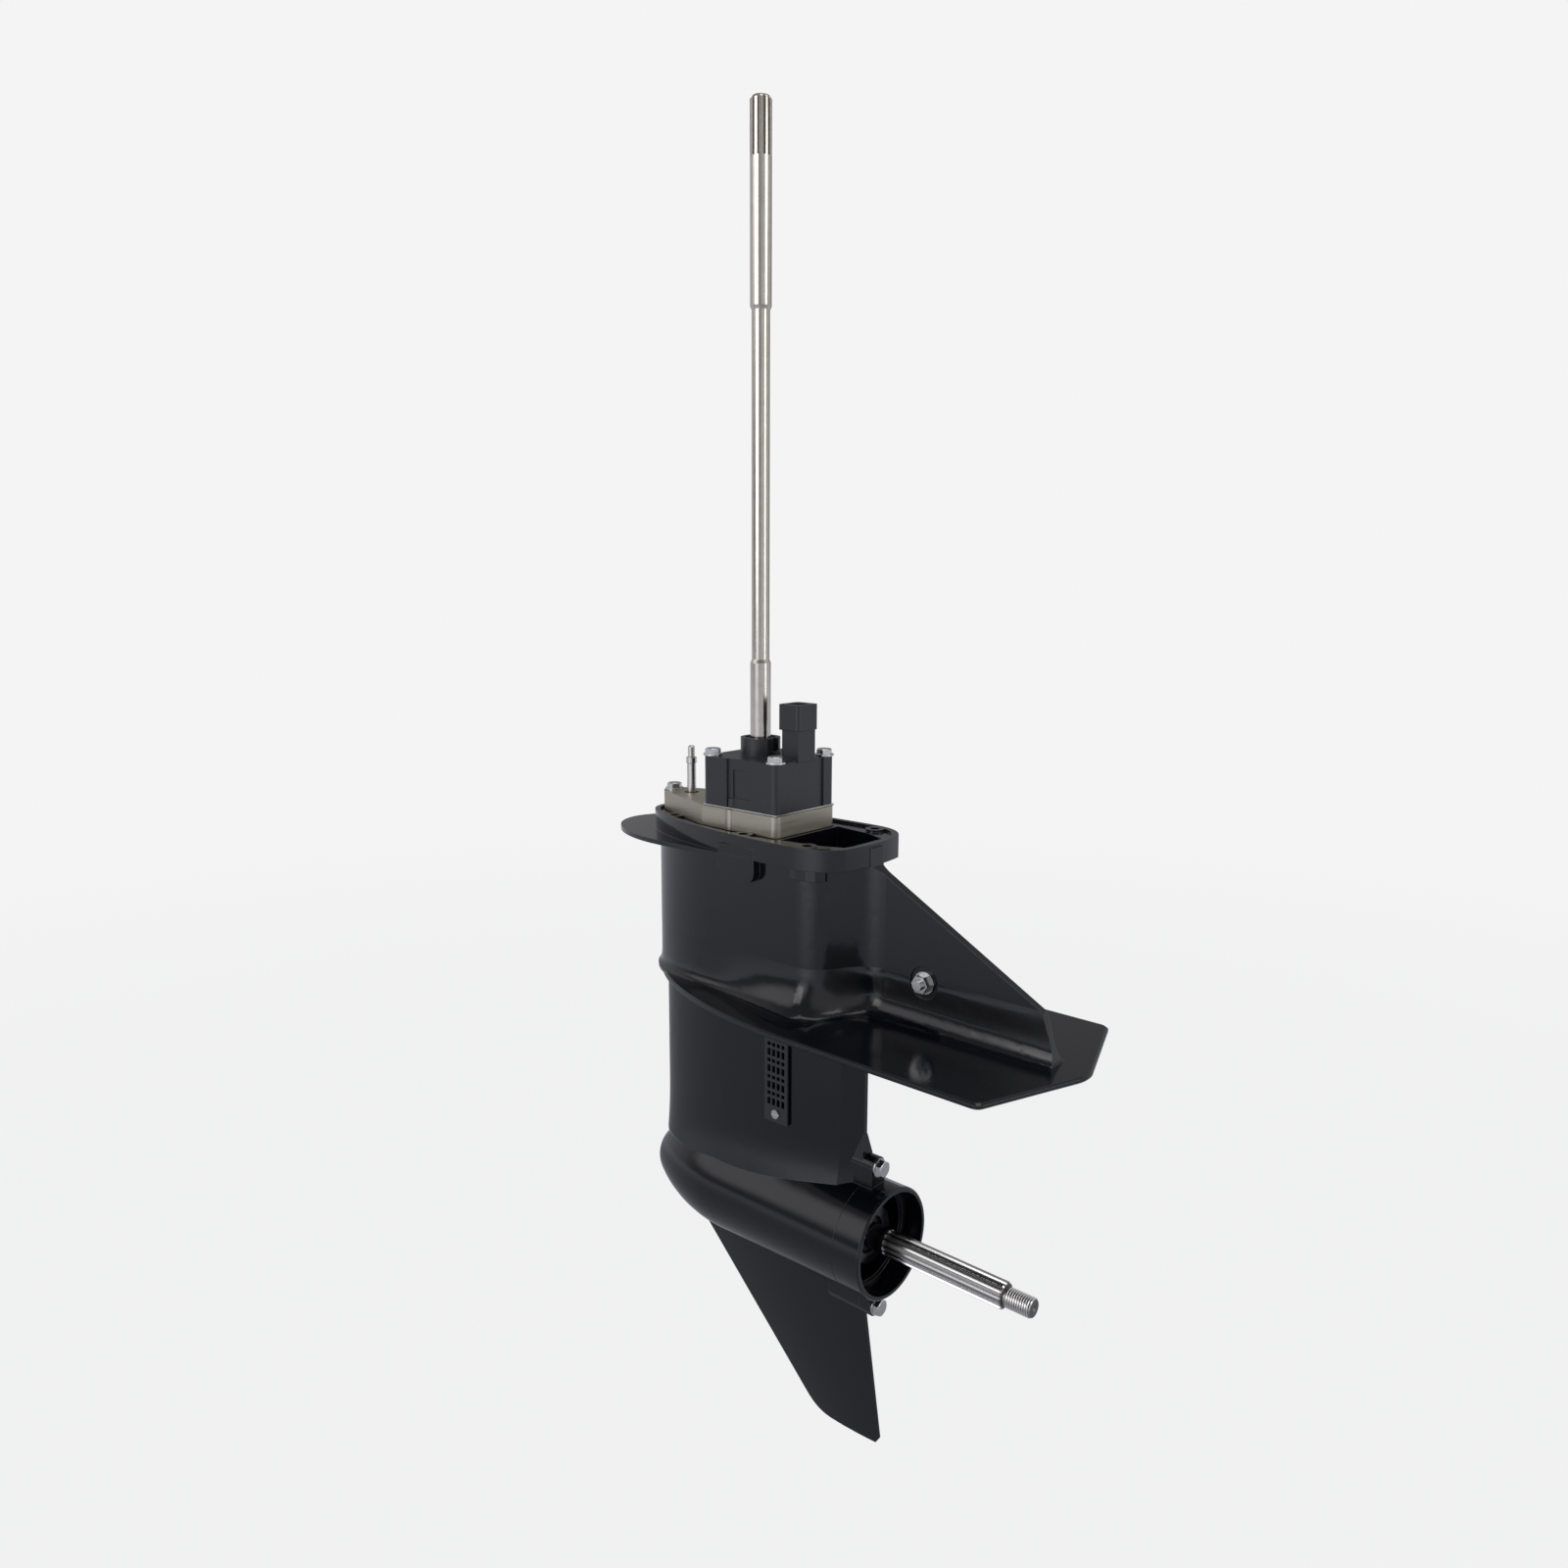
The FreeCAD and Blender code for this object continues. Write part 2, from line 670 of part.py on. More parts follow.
def plate_section(z, inset):
    """Outline of the anti-ventilation plate: swept front edges, straight sides, pointed tail."""
    half, corner, tip = N.plate_half - inset, N.plate_corner - inset, N.plate_tip - inset
    length = math.hypot(tip - corner, half)
    along, across = (tip - corner) / length, half / length
    side_cut, tip_cut = N.plate_thick, 2 * N.plate_thick
    leave = (corner + side_cut * along, half - side_cut * across)
    reach = (tip - tip_cut * along, tip_cut * across)
    nose = -N.body_nose - N.plate_lip + inset
    sweep = N.plate_corner - nose
    knee = (nose + sweep * 0.54, half)
    swept = [(nose, 0), (nose + sweep * 0.055, half * 0.48), (nose + sweep * 0.22, half * 0.93), knee]
    port = [
        curve(*[(x, -y, z) for x, y in swept]),
        line((knee[0], -half, z), (corner - side_cut, -half, z)),
        curve((corner - side_cut, -half, z), (corner, -half, z), (leave[0], -leave[1], z)),
        line((leave[0], -leave[1], z), (reach[0], -reach[1], z)),
        curve((reach[0], -reach[1], z), (tip, 0, z), (reach[0], reach[1], z)),
    ]
    starboard = [
        line((reach[0], reach[1], z), (leave[0], leave[1], z)),
        curve((leave[0], leave[1], z), (corner, half, z), (corner - side_cut, half, z)),
        line((corner - side_cut, half, z), (knee[0], half, z)),
        curve(*[(x, y, z) for x, y in reversed(swept)]),
    ]
    return Part.Wire(port + starboard)


def plate():
    """Anti-ventilation plate with a rounded-off rim."""
    top = -N.plate_drop
    bottom = top - N.plate_thick
    rim = N.plate_thick * 0.3
    levels = [(bottom, rim), (bottom + rim, 0), (top - rim, 0), (top, rim)]
    return Part.makeLoft([plate_section(z, inset) for z, inset in levels], True, True)


def flange_wire(z, inset):
    """Outline of the mounting flange, or of the deck inside its rim."""
    nose = -N.flange_nose + inset
    half, tail = N.flange_half - inset, N.flange_tail - inset
    tail_half = N.flange_tail_half - inset * 0.6
    corner, bulge = tail - 3.5, tail + 1.2
    widest = N.flange_tail * 0.62
    quarter = (widest - nose) * 0.42
    turn = (corner - widest) * 0.6
    port = [
        curve((corner, -tail_half, z), (corner - 9, -tail_half - 13, z), (widest + turn, -half, z),
              (widest, -half, z)),
        curve((widest, -half, z), (widest - quarter, -half, z), (nose, -half * 0.8, z), (nose, 0, z)),
    ]
    starboard = [
        curve((nose, 0, z), (nose, half * 0.8, z), (widest - quarter, half, z), (widest, half, z)),
        curve((widest, half, z), (widest + turn, half, z), (corner - 9, tail_half + 13, z),
              (corner, tail_half, z)),
    ]
    aft = curve((corner, tail_half, z), (bulge, tail_half * 0.4, z), (bulge, -tail_half * 0.4, z),
                (corner, -tail_half, z))
    return Part.Wire(port + starboard + [aft])


def splash_plate():
    """Thin apron forward of the flange."""
    z = -N.splash_drop - N.splash_thick
    nose, half = -N.splash_nose, N.splash_half
    shoulder = nose + half * 1.6
    end = N.flange_tail * 0.3
    back = N.flange_half
    port = [line((end, -back, z), (shoulder, -half, z))]
    starboard = [line((shoulder, half, z), (end, back, z))]
    edges = port + nose_edges(shoulder, nose, half, z) + starboard + [line((end, back, z), (end, -back, z))]
    return prism(Part.Wire(edges), N.splash_thick)


def skeg():
    """Fin below the torpedo: a lens section that thins towards the bottom."""
    top, bottom = -N.torpedo_radius * 0.7, -N.skeg_depth

    def lens(z, lead, trail, half):
        middle = (lead + trail) / 2
        edge = half * 0.25
        port = Part.Arc(Vector(trail, -edge, z), Vector(middle, -half, z), Vector(lead, -edge, z))
        starboard = Part.Arc(Vector(lead, edge, z), Vector(middle, half, z), Vector(trail, edge, z))
        return Part.Wire([
            port.toShape(),
            line((lead, -edge, z), (lead, edge, z)),
            starboard.toShape(),
            line((trail, edge, z), (trail, -edge, z)),
        ])

    blade = Part.makeLoft(
        [
            lens(top, -N.skeg_root_lead, N.skeg_root_trail, N.skeg_thick / 2),
            lens(bottom, N.skeg_toe, N.skeg_heel, N.skeg_tip_thick / 2),
        ],
        True,
        True,
    )
    wide = N.skeg_thick
    toe, heel = N.skeg_toe, N.skeg_heel
    profile = Part.Wire([
        line((toe - 160, -wide, top + 1), (heel + 40, -wide, top + 1)),
        line((heel + 40, -wide, top + 1), (heel + 1.5, -wide, bottom + 11)),
        line((heel + 1.5, -wide, bottom + 11), (heel - 5, -wide, bottom + 1)),
        line((heel - 5, -wide, bottom + 1), (toe + 22, -wide, bottom)),
        curve((toe + 22, -wide, bottom), (toe + 8, -wide, bottom), (toe, -wide, bottom + 4),
              (toe - 8, -wide, bottom + 12)),
        line((toe - 8, -wide, bottom + 12), (toe - 160, -wide, top + 1)),
    ])
    trimmed = blade.common(Part.Face(profile).extrude(Vector(0, 2 * wide, 0)))
    trimmed.translate(COG)
    return trimmed


def mount_places():
    """Plan places of the six flange bolt holes."""
    return [
        (x, side * half)
        for x, half in (
            (N.mount_aft, N.mount_aft_half),
            (N.mount_mid, N.mount_mid_half),
            (-N.mount_front, N.mount_front_half),
        )
        for side in (-1, 1)
    ]


def outer_bosses():
    """Lumps on the casting: bosses and pads under the flange and the two carrier bolt bosses."""
    lumps = []
    end, half = N.pad_end, N.body_half
    pad_plan = [(end - 40, 2 - half), (N.body_end, -half - 1.2), (end - 12, -half - 0.5),
                (end - 5, 3 - half), (end, 9.5 - half), (end, -20), (end - 40, -20)]
    for side in (-1, 1):
        near, far = sorted((side * 30, side * N.boss_reach))
        boss = box(N.mount_mid - N.boss_half, N.mount_mid + N.boss_half, near, far, -N.boss_drop, -9)
        foot = [edge for edge in boss.Edges if edge.BoundBox.ZMax < 1 - N.boss_drop and edge.BoundBox.XLength < 1]
        lumps.append(boss.makeFillet(N.boss_half * 0.45, foot))
        plan = [(x, -side * across) for x, across in pad_plan]
        lumps.append(prism(outline_wire(plan, -N.pad_drop), N.pad_drop - 9))
    length = N.ear_thick * 3
    for side in (-1, 1):
        start = (N.torpedo_end - length, 0, -N.prop_drop + side * N.ear_reach)
        end = (N.torpedo_end, 0, -N.prop_drop + side * N.ear_reach)
        lumps.append(rod(N.ear_half, start, end))
        inner = -N.prop_drop + side * (N.carrier_bore + 2)
        low_z, high_z = sorted((inner, end[2]))
        lumps.append(box(start[0], end[0], -N.ear_half, N.ear_half, low_z, high_z))
    top = N.ear_reach + N.ear_half - N.prop_drop
    wide, slim = N.ear_half - 1.5, 2.5
    lumps.append(Part.makeLoft([
        outline_wire(mirrored([(N.torpedo_end - length, -wide), (N.torpedo_end, -wide)]), top - 4),
        outline_wire(mirrored([(N.torpedo_end - length, -slim), (N.strut_tail, -slim)]), top + 16),
    ], True, True))
    return lumps


def inlet_pocket(side, depth, inset, raise_low=0):
    """Flat-bottomed recess in one flank of the strut."""
    face = N.inlet_face - depth
    y_low, y_high = sorted((side * face, side * (N.strut_half + 5)))
    low = N.inlet_low - N.prop_drop + inset + raise_low
    high = N.inlet_high - N.prop_drop - inset
    return box(N.inlet_front + inset, N.inlet_back - inset, y_low, y_high, low, high)


def water_passages():
    """Inlet recesses, the chamber behind them and the channel up to the pump."""
    cuts = []
    low = N.inlet_low - N.prop_drop
    for side in (-1, 1):
        cuts.append(inlet_pocket(side, N.inlet_thick + N.fit_gap, -N.fit_gap))
        cuts.append(inlet_pocket(side, N.inlet_thick + 16, 3.5, 11))
    cuts.append(box(N.inlet_front + 3.5, N.inlet_back - 9, -12, 12, low + 14.5, -N.deck_depth + 1))
    return cuts


def exhaust_passages():
    """Exhaust way: wide mouth in the deck, down the strut, and into the torpedo's bore."""
    mouth = mirrored([(N.pump_back + 4, -37), (N.mount_aft - 8, -33), (N.mount_aft + 2, -32), (113, -23)])
    waist = mirrored([(N.inlet_back + 5, -24), (N.body_end, -24), (96, -18), (110, -6)])
    throat = mirrored([(N.inlet_back + 5, -19), (78, -17), (90, -13), (99, -8)])
    levels = [1 - N.deck_depth, -N.plate_drop + 10, -N.plate_drop - 20, 20 - N.prop_drop]
    upper = Part.makeLoft([outline_wire(mouth, levels[0]), outline_wire(waist, levels[1])], True, True)
    middle = Part.makeLoft([outline_wire(waist, levels[1]), outline_wire(throat, levels[2])], True, True)
    lower = Part.makeLoft([outline_wire(throat, levels[2]), outline_wire(throat, levels[3])], True, True)
    return [upper, middle, lower]


def drive_bores():
    """Gear chamber, bearing seats, driveshaft bore and shift rod bore."""
    cup_low = N.gear_cup_start
    cup_high = N.gear_cup_start + N.gear_cup_width
    bore = N.carrier_bore
    gear_room = turned_on_axis([
        (-cup_low, 0), (-cup_low, bore), (N.torpedo_end + 1, bore), (N.torpedo_end + 1, 0)
    ])
    cup_room = turned_on_axis([
        (-cup_high, 0), (-cup_high, N.gear_cup_radius + N.fit_gap),
        (-cup_low + 1, N.gear_cup_radius + N.fit_gap), (-cup_low + 1, 0)
    ])
    nose_room = turned_on_axis([
        (-N.shift_place, 0), (-N.shift_place, 6), (-N.front_end - 6, 6), (-N.front_end - 6, 21),
        (-cup_high + 1, 21), (-cup_high + 1, 0)
    ])
    shaft_cup_top = N.pinion_top + N.shaft_cup_width - N.prop_drop
    pinion_room = rod(N.shaft_cup_radius + N.fit_gap, (0, 0, -N.prop_drop + 20), (0, 0, shaft_cup_top))
    shaft_room = rod(N.shaft_bore, (0, 0, -N.prop_drop + 40), (0, 0, 1))
    x = -N.shift_place
    cam_low = -N.prop_drop - N.cam_half - N.shift_travel - 2
    cam_room = rod(N.cam_radius + N.fit_gap * 3, (x, 0, cam_low), (x, 0, 1))
    return [gear_room, cup_room, nose_room, pinion_room, shaft_room, cam_room]


def fastener_holes():
    """Blind and through holes of the casting."""
    cuts = []
    for x, y in mount_places():
        cuts.append(rod(N.mount_hole, (x, y, -N.mount_depth), (x, y, 1)))
    for side in (-1, 1):
        z = -N.prop_drop + side * N.ear_reach
        cuts.append(rod(N.large_bolt + N.fit_gap, (N.torpedo_end - 25, 0, z), (N.torpedo_end + 1, 0, z)))
    for x, y in pump_bolt_places():
        cuts.append(rod(N.small_bolt + N.fit_gap, (x, y, -18), (x, y, 1)))
    cuts.append(rod(N.small_bolt + N.fit_gap, (-N.base_bolt_place, 0, -16), (-N.base_bolt_place, 0, 1)))
    y = N.web_half + 8
    z = -N.stud_drop
    cuts.append(rod(N.large_bolt + N.fit_gap, (N.stud_place, -y, z), (N.stud_place, y, z)))
    for side in (-1, 1):
        floor = side * (N.web_half - N.web_dish)
        cuts.append(rod(N.dish_radius, (N.stud_place, floor, z), (N.stud_place, side * y, z)))
    for x, y in dowel_places():
        cuts.append(rod(N.dowel_radius + N.fit_gap, (x, y, -10), (x, y, 1)))
    for z, y in plug_seats():
        x = -N.plug_place
        cuts.append(rod(N.plug_radius + N.fit_gap, (x, y - 8, z), (x, y + 1, z)))
        cuts.append(rod(N.plug_head + 1, (x, y, z), (x, y + 15, z)))
    for side in (-1, 1):
        y = side * (N.inlet_face - 12)
        x, z = inlet_screw_place()
        cuts.append(rod(2 + N.fit_gap, (x, y, z), (x, side * N.strut_half, z)))
    return cuts


def inlet_screw_place():
    return ((N.inlet_front + N.inlet_back) / 2, N.inlet_low + 8 - N.prop_drop)


def pump_bolt_places():
    inset = N.pump_bolt_inset
    return [
        (x, side * (N.pump_half - inset))
        for x in (-N.pump_front + inset, N.pump_back - inset)
        for side in (-1, 1)
    ]


def dowel_places():
    return [(-N.dowel_place, side * N.dowel_half) for side in (-1, 1)]


def plug_seats():
    """Flat seats of the oil level plug and the drain plug on the starboard flank: (z, y)."""
    return [(N.level_rise - N.prop_drop, N.strut_half - 4.5), (-N.prop_drop, N.torpedo_radius - 6)]


def gearcase():
    """The casting: everything outside fused, then every room and hole taken out."""
    z = -N.flange_height
    flange = prism(flange_wire(z, 0), N.flange_height)
    housing = upper_housing().cut(web_clearance())
    solid = flange.fuse([housing, splash_plate(), plate(), strut(), torpedo(), skeg()] + outer_bosses())
    deck = prism(flange_wire(-N.deck_depth, N.rim_width), N.deck_depth + 1)
    for x, y in mount_places():
        deck = deck.cut(rod(N.mount_hole * 1.9, (x, y, -N.deck_depth), (x, y, 0)))
    base_plan = [(float(x), float(y)) for x, y in plan_outline(as_size(N.face_gap + 0.5))]
    deck = deck.fuse(prism(outline_wire(base_plan, -N.deck_depth), N.deck_depth + 1))
    rooms = [deck] + water_passages() + exhaust_passages() + drive_bores() + fastener_holes()
    solid = solid.cut(rooms)
    return free_shape("gearcase", solid.removeSplitter())


# Shafts

def driveshaft():
    body = new_body("driveshaft")
    seat, hub_top = AXIS + S.pinion_seat, AXIS + S.pinion_top
    cone_top = hub_top + S.shaft_cup_width
    thread = S.large_bolt + 1
    bore = S.shaft_radius - 0.25
    profile = [
        (0, seat - 6.5),
        (thread, seat - 6.5),
        (thread, seat),
        (bore, seat),
        (bore, hub_top),
        (S.cone_seat_radius, hub_top),
        (S.cone_seat_radius, cone_top),
        (S.cone_seat_radius + 1.5, cone_top),
        (S.cone_seat_radius + 1.5, cone_top + 4),
        (S.shaft_radius, cone_top + 8),
        (S.shaft_radius, S.waist_low),
        (S.shaft_waist, S.waist_low + 3),
        (S.shaft_waist, S.waist_high - 3),
        (S.shaft_radius, S.waist_high),
        (S.shaft_radius, S.shaft_top - 2.5),
        (S.shaft_radius - S.spline_depth - 0.6, S.shaft_top),
        (0, S.shaft_top),
    ]
    revolve(body, profile)
    root, outer = S.shaft_radius - S.spline_depth, S.shaft_radius + 1
    groove = pocket(body, S.shaft_top + 1, S.spline_length + 1, [
        (root, -0.75), (outer, -1.5), (outer, 1.5), (root, 0.75)
    ])
    repeat_round(body, groove, S.spline_count)


def prop_shaft():
    body = new_body("prop_shaft")
    bore = S.plunger_radius + S.fit_gap * 2
    shoulder = S.hub_end + 4.3
    end, tip = S.tail_spline_end, S.tail_end
    profile = [
        (bore, -S.front_end),
        (S.journal_radius, -S.front_end),
        (S.journal_radius, shoulder),
        (S.hub_radius - 2, shoulder),
        (S.hub_radius - 2, shoulder + 5),
        (S.tail_radius, shoulder + 5),
        (S.tail_radius, end - 1.2),
        (S.tail_radius - 1.2, end),
        (S.thread_radius - 1, end),
        (S.thread_radius - 1, end + 2),
        (S.thread_radius, end + 3),
        (S.thread_radius, tip - 1.2),
        (S.thread_radius - 1.2, tip),
        (2.6, tip),
        (0, tip - 3),
        (0, 13),
        (bore, 13),
    ]
    revolve(body, profile)
    sketch = new_sketch(body, "XZ_Plane")
    wide = S.pin_radius + S.fit_gap
    long = S.clutch_travel + S.pin_radius + S.face_gap
    draw_outline(sketch, rectangle(-wide, wide, -long, long))
    slot = body.newObject("PartDesign::Pocket", "pin_slot")
    slot.Profile = sketch
    slot.Type = "ThroughAll"
    slot.Midplane = True
    doc.recompute()
    root, outer = S.tail_radius - S.tail_spline_depth, S.tail_radius + 1
    groove = pocket(body, end + 0.5, end + 0.5 - S.tail_spline_start, [
        (root, -0.9), (outer, -1.6), (outer, 1.6), (root, 0.9)
    ])
    repeat_round(body, groove, S.tail_spline_count)
    on_prop_axis(body)


def thrust_washer():
    body = ring(
        "thrust_washer", S.journal_radius + S.fit_gap, S.hub_radius - 2,
        S.hub_end + S.face_gap, S.hub_end + 4.3,
    )
    on_prop_axis(body)


# Bevel gears: straight teeth whose flanks all run to the crossing of the two shaft axes

PRESSURE = math.radians(20)


def cone_angle(teeth, mate):
    return math.atan2(teeth, mate)


def cone_reach():
    """Distance along the pitch cone from the apex to the heel."""
    return N.tooth_module * math.hypot(N.pinion_teeth, N.gear_teeth) / 2


def tooth_space(teeth, mate, low, high):
    """Room between two teeth: a cone from the apex over an involute outline."""
    angle = cone_angle(teeth, mate)
    reach, module = cone_reach(), N.tooth_module
    virtual = reach * math.tan(angle)
    base = virtual * math.cos(PRESSURE)
    half_space = (math.pi * module / 2 + N.tooth_play) / 2 / virtual
    flank = []
    for lift in (-1.2, 0, 1.5):
        rise = lift * module
        radius = virtual + rise
        roll = math.sqrt(max(radius ** 2 / base ** 2 - 1, 0))
        opening = half_space - (math.tan(PRESSURE) - PRESSURE) + roll - math.atan(roll)
        across = reach * math.sin(angle) + rise * math.cos(angle)
        along = reach * math.cos(angle) - rise * math.sin(angle)
        turn = opening * radius / across
        flank.append((across * math.cos(turn) / along, across * math.sin(turn) / along))
    sections = []
    for level in (low, high):
        left = [(x * level, -y * level) for x, y in flank]
        right = [(x * level, y * level) for x, y in reversed(flank)]
        sections.append(outline_wire(left + right, level))
    return Part.makeLoft(sections, True, True)


def tooth_corners(teeth, mate):
    """Tip corners of a tooth in the half section, and the slope of its end faces."""
    angle = cone_angle(teeth, mate)
    reach, module = cone_reach(), N.tooth_module
    heel = (
        reach * math.sin(angle) + module * math.cos(angle),
        reach * math.cos(angle) - module * math.sin(angle),
    )
    share = 1 - N.face_width / reach
    toe = (heel[0] * share, heel[1] * share)
    return heel, toe, (-math.cos(angle), math.sin(angle))


def turned_upright(corners):
    """Turn a half section of (radius, height) corners about the Z axis."""
    spots = [Vector(r, 0, z) for r, z in corners]
    face = Part.Face(Part.makePolygon(spots + spots[:1]))
    return face.revolve(Vector(0, 0, 0), Vector(0, 0, 1), 360)


def cut_teeth(blank, space, teeth, first):
    """Cut every tooth space out of a blank, starting at an angle."""
    spaces = []
    for number in range(int(teeth)):
        copy = space.copy()
        copy.rotate(Vector(0, 0, 0), Vector(0, 0, 1), first + 360 * number / teeth)
        spaces.append(copy)
    return blank.cut(spaces)


def lugs(low, high):
    """Three clutch lugs between two heights."""
    raised = []
    span = 44
    for number in range(3):
        sector = Part.makeCylinder(
            N.clutch_radius, high - low, Vector(0, 0, low), Vector(0, 0, 1), span
        )
        sector = sector.cut(Part.makeCylinder(N.lug_inner, high - low, Vector(0, 0, low)))
        sector.rotate(Vector(0, 0, 0), Vector(0, 0, 1), 120 * number - span / 2)
        raised.append(sector)
    return raised


def large_gear(label, aft):
    """Forward or reverse gear with its hub and clutch lugs."""
    teeth, mate = N.gear_teeth, N.pinion_teeth
    heel, toe, slope = tooth_corners(teeth, mate)
    bore = N.journal_radius + N.fit_gap
    inner = (N.hub_face - toe[1]) / slope[1]
    outer = (N.gear_back - 0.5 - heel[1]) / slope[1]
    shoulder = N.hub_radius + 4
    rim = heel[0] + slope[0] * outer
    blank = turned_upright([
        (bore, N.hub_face),
        (toe[0] + slope[0] * inner, N.hub_face),
        toe,
        heel,
        (rim, N.gear_back - 0.5),
        (rim, N.gear_back),
        (shoulder, N.gear_back),
        (shoulder, N.gear_cup_start),
        (N.hub_radius, N.gear_cup_start),
        (N.hub_radius, N.hub_end),
        (bore, N.hub_end),
    ])
    space = tooth_space(teeth, mate, toe[1] * 0.7, N.gear_back + 1)
    first = 180 / teeth if aft else 0
    shape = cut_teeth(blank, space, teeth, first)
    shape = shape.fuse(lugs(N.hub_face - N.lug_height, N.hub_face + 1))
    gear = free_shape(label, shape.removeSplitter())
    on_prop_axis(gear, aft)


def pinion_gear():
    teeth, mate = N.pinion_teeth, N.gear_teeth
    heel, toe, slope = tooth_corners(teeth, mate)
    bore = N.shaft_radius - 0.25 + N.fit_gap
    inner = (N.pinion_seat - toe[1]) / slope[1]
    hub = N.hub_radius - 1.5
    outer = (heel[0] - hub) / -slope[0]
    blank = turned_upright([
        (bore, N.pinion_seat),
        (toe[0] + slope[0] * inner, N.pinion_seat),
        toe,
        heel,
        (hub, heel[1] + slope[1] * outer),
        (hub, N.pinion_top),
        (bore, N.pinion_top),
    ])
    shape = cut_teeth(blank, tooth_space(teeth, mate, toe[1] * 0.8, N.pinion_top), teeth, 0)
    gear = free_shape("pinion_gear", shape.removeSplitter())
    gear.Placement = Placement(COG, Rotation())
    bind(gear, "Placement.Base.z", AXIS)


def pinion_nut():
    body = new_body("pinion_nut")
    low = AXIS + S.pinion_seat - 6.5
    pad(body, low, 6.5, hexagon(as_size(0), as_size(0), S.large_bolt + 4))
    doc.recompute()
    pocket(body, AXIS + S.pinion_seat + 1, 9, circles=[(0, 0, S.large_bolt + 1 + S.fit_gap)])


# Shift linkage and clutch

def clutch_dog():
    half, high = N.clutch_half, N.clutch_half + N.lug_height
    bore = N.journal_radius + N.fit_gap
    groove = N.clutch_radius - 1.4
    shape = turned_upright([
        (bore, -half), (N.clutch_radius, -half), (N.clutch_radius, -1), (groove, -1),
        (groove, 1), (N.clutch_radius, 1), (N.clutch_radius, half), (bore, half),
    ])
    shape = shape.fuse(lugs(half - 1, high) + lugs(-high, 1 - half))
    hole = rod(N.pin_radius + N.fit_gap, (0, -N.clutch_radius, 0), (0, N.clutch_radius, 0))
    dog = free_shape("clutch_dog", shape.cut(hole).removeSplitter())
    on_prop_axis(dog)


def clutch_cross_pin():
    body = new_body("clutch_cross_pin")
    reach = S.clutch_radius - 1.5
    revolve(body, [(0, -reach), (S.pin_radius, -reach), (S.pin_radius, reach), (0, reach)])
    body.Placement = Placement(COG, Rotation(Vector(1, 0, 0), 90))
    bind(body, "Placement.Base.z", AXIS)


def clutch_spring_ring():
    outer = S.clutch_radius - 0.1
    on_prop_axis(ring("clutch_spring_ring", S.clutch_radius - 1.35, outer, -0.9, 0.9))


def shift_plunger():
    """Push rod inside the propeller shaft, with a ball end that rides in the cam."""
    ball_at, front, back = -N.shift_place, -N.front_end - 2, 2 * N.pin_radius + 1
    parts = [
        Part.makeSphere(N.knob_radius, Vector(0, 0, ball_at)),
        rod(3, (0, 0, ball_at), (0, 0, front + 1)),
    ]
    stem = rod(N.plunger_radius, (0, 0, front), (0, 0, back))
    hole = rod(N.pin_radius + N.fit_gap, (0, -10, 0), (0, 10, 0))
    rod_shape = stem.fuse(parts).cut(hole)
    on_prop_axis(free_shape("shift_plunger", rod_shape.removeSplitter()))


def shift_cam():
    """Barrel on the shift rod, with a slanted slot that drives the plunger's ball end."""
    x, half = -N.shift_place, N.cam_half
    barrel = Part.makeCylinder(N.cam_radius, 2 * half + N.cam_cap, Vector(x, 0, -half))
    tilt = -math.degrees(math.atan2(N.clutch_travel, N.shift_travel))
    wide = N.knob_radius + 0.12
    low, high = -3 * half, math.hypot(N.clutch_travel, N.shift_travel) + wide + N.face_gap
    slot = box(-wide, wide, -wide, wide, low, high)
    throat = box(0, 4 * wide, -3.2, 3.2, low, high)
    cutter = slot.fuse(throat)
    cutter.rotate(Vector(0, 0, 0), Vector(0, 1, 0), tilt)
    cutter.translate(Vector(x, 0, 0))
    seat = rod(N.shift_radius + N.fit_gap, (x, 0, half), (x, 0, half + N.cam_cap + 1))
    cam = free_shape("shift_cam", barrel.cut([cutter, seat]))
    cam.Placement = Placement(COG, Rotation())
    bind(cam, "Placement.Base.z", AXIS)


def shift_rod():
    body = new_body("shift_rod")
    low = AXIS + S.cam_half
    top = S.shift_top
    revolve(body, [
        (0, low),
        (S.shift_radius, low),
        (S.shift_radius, top - 16),
        (S.shift_radius + 0.8, top - 15.5),
        (S.shift_radius + 0.8, top - 10.5),
        (S.shift_radius - 1, top - 10),
        (S.shift_radius - 1, top - 0.8),
        (S.shift_radius - 1.8, top),
        (0, top),
    ])
    body.Placement = Placement(Vector(-N.shift_place, 0, 0), Rotation())
    bind(body, "Placement.Base.x", -S.shift_place)


# Bearings and seals

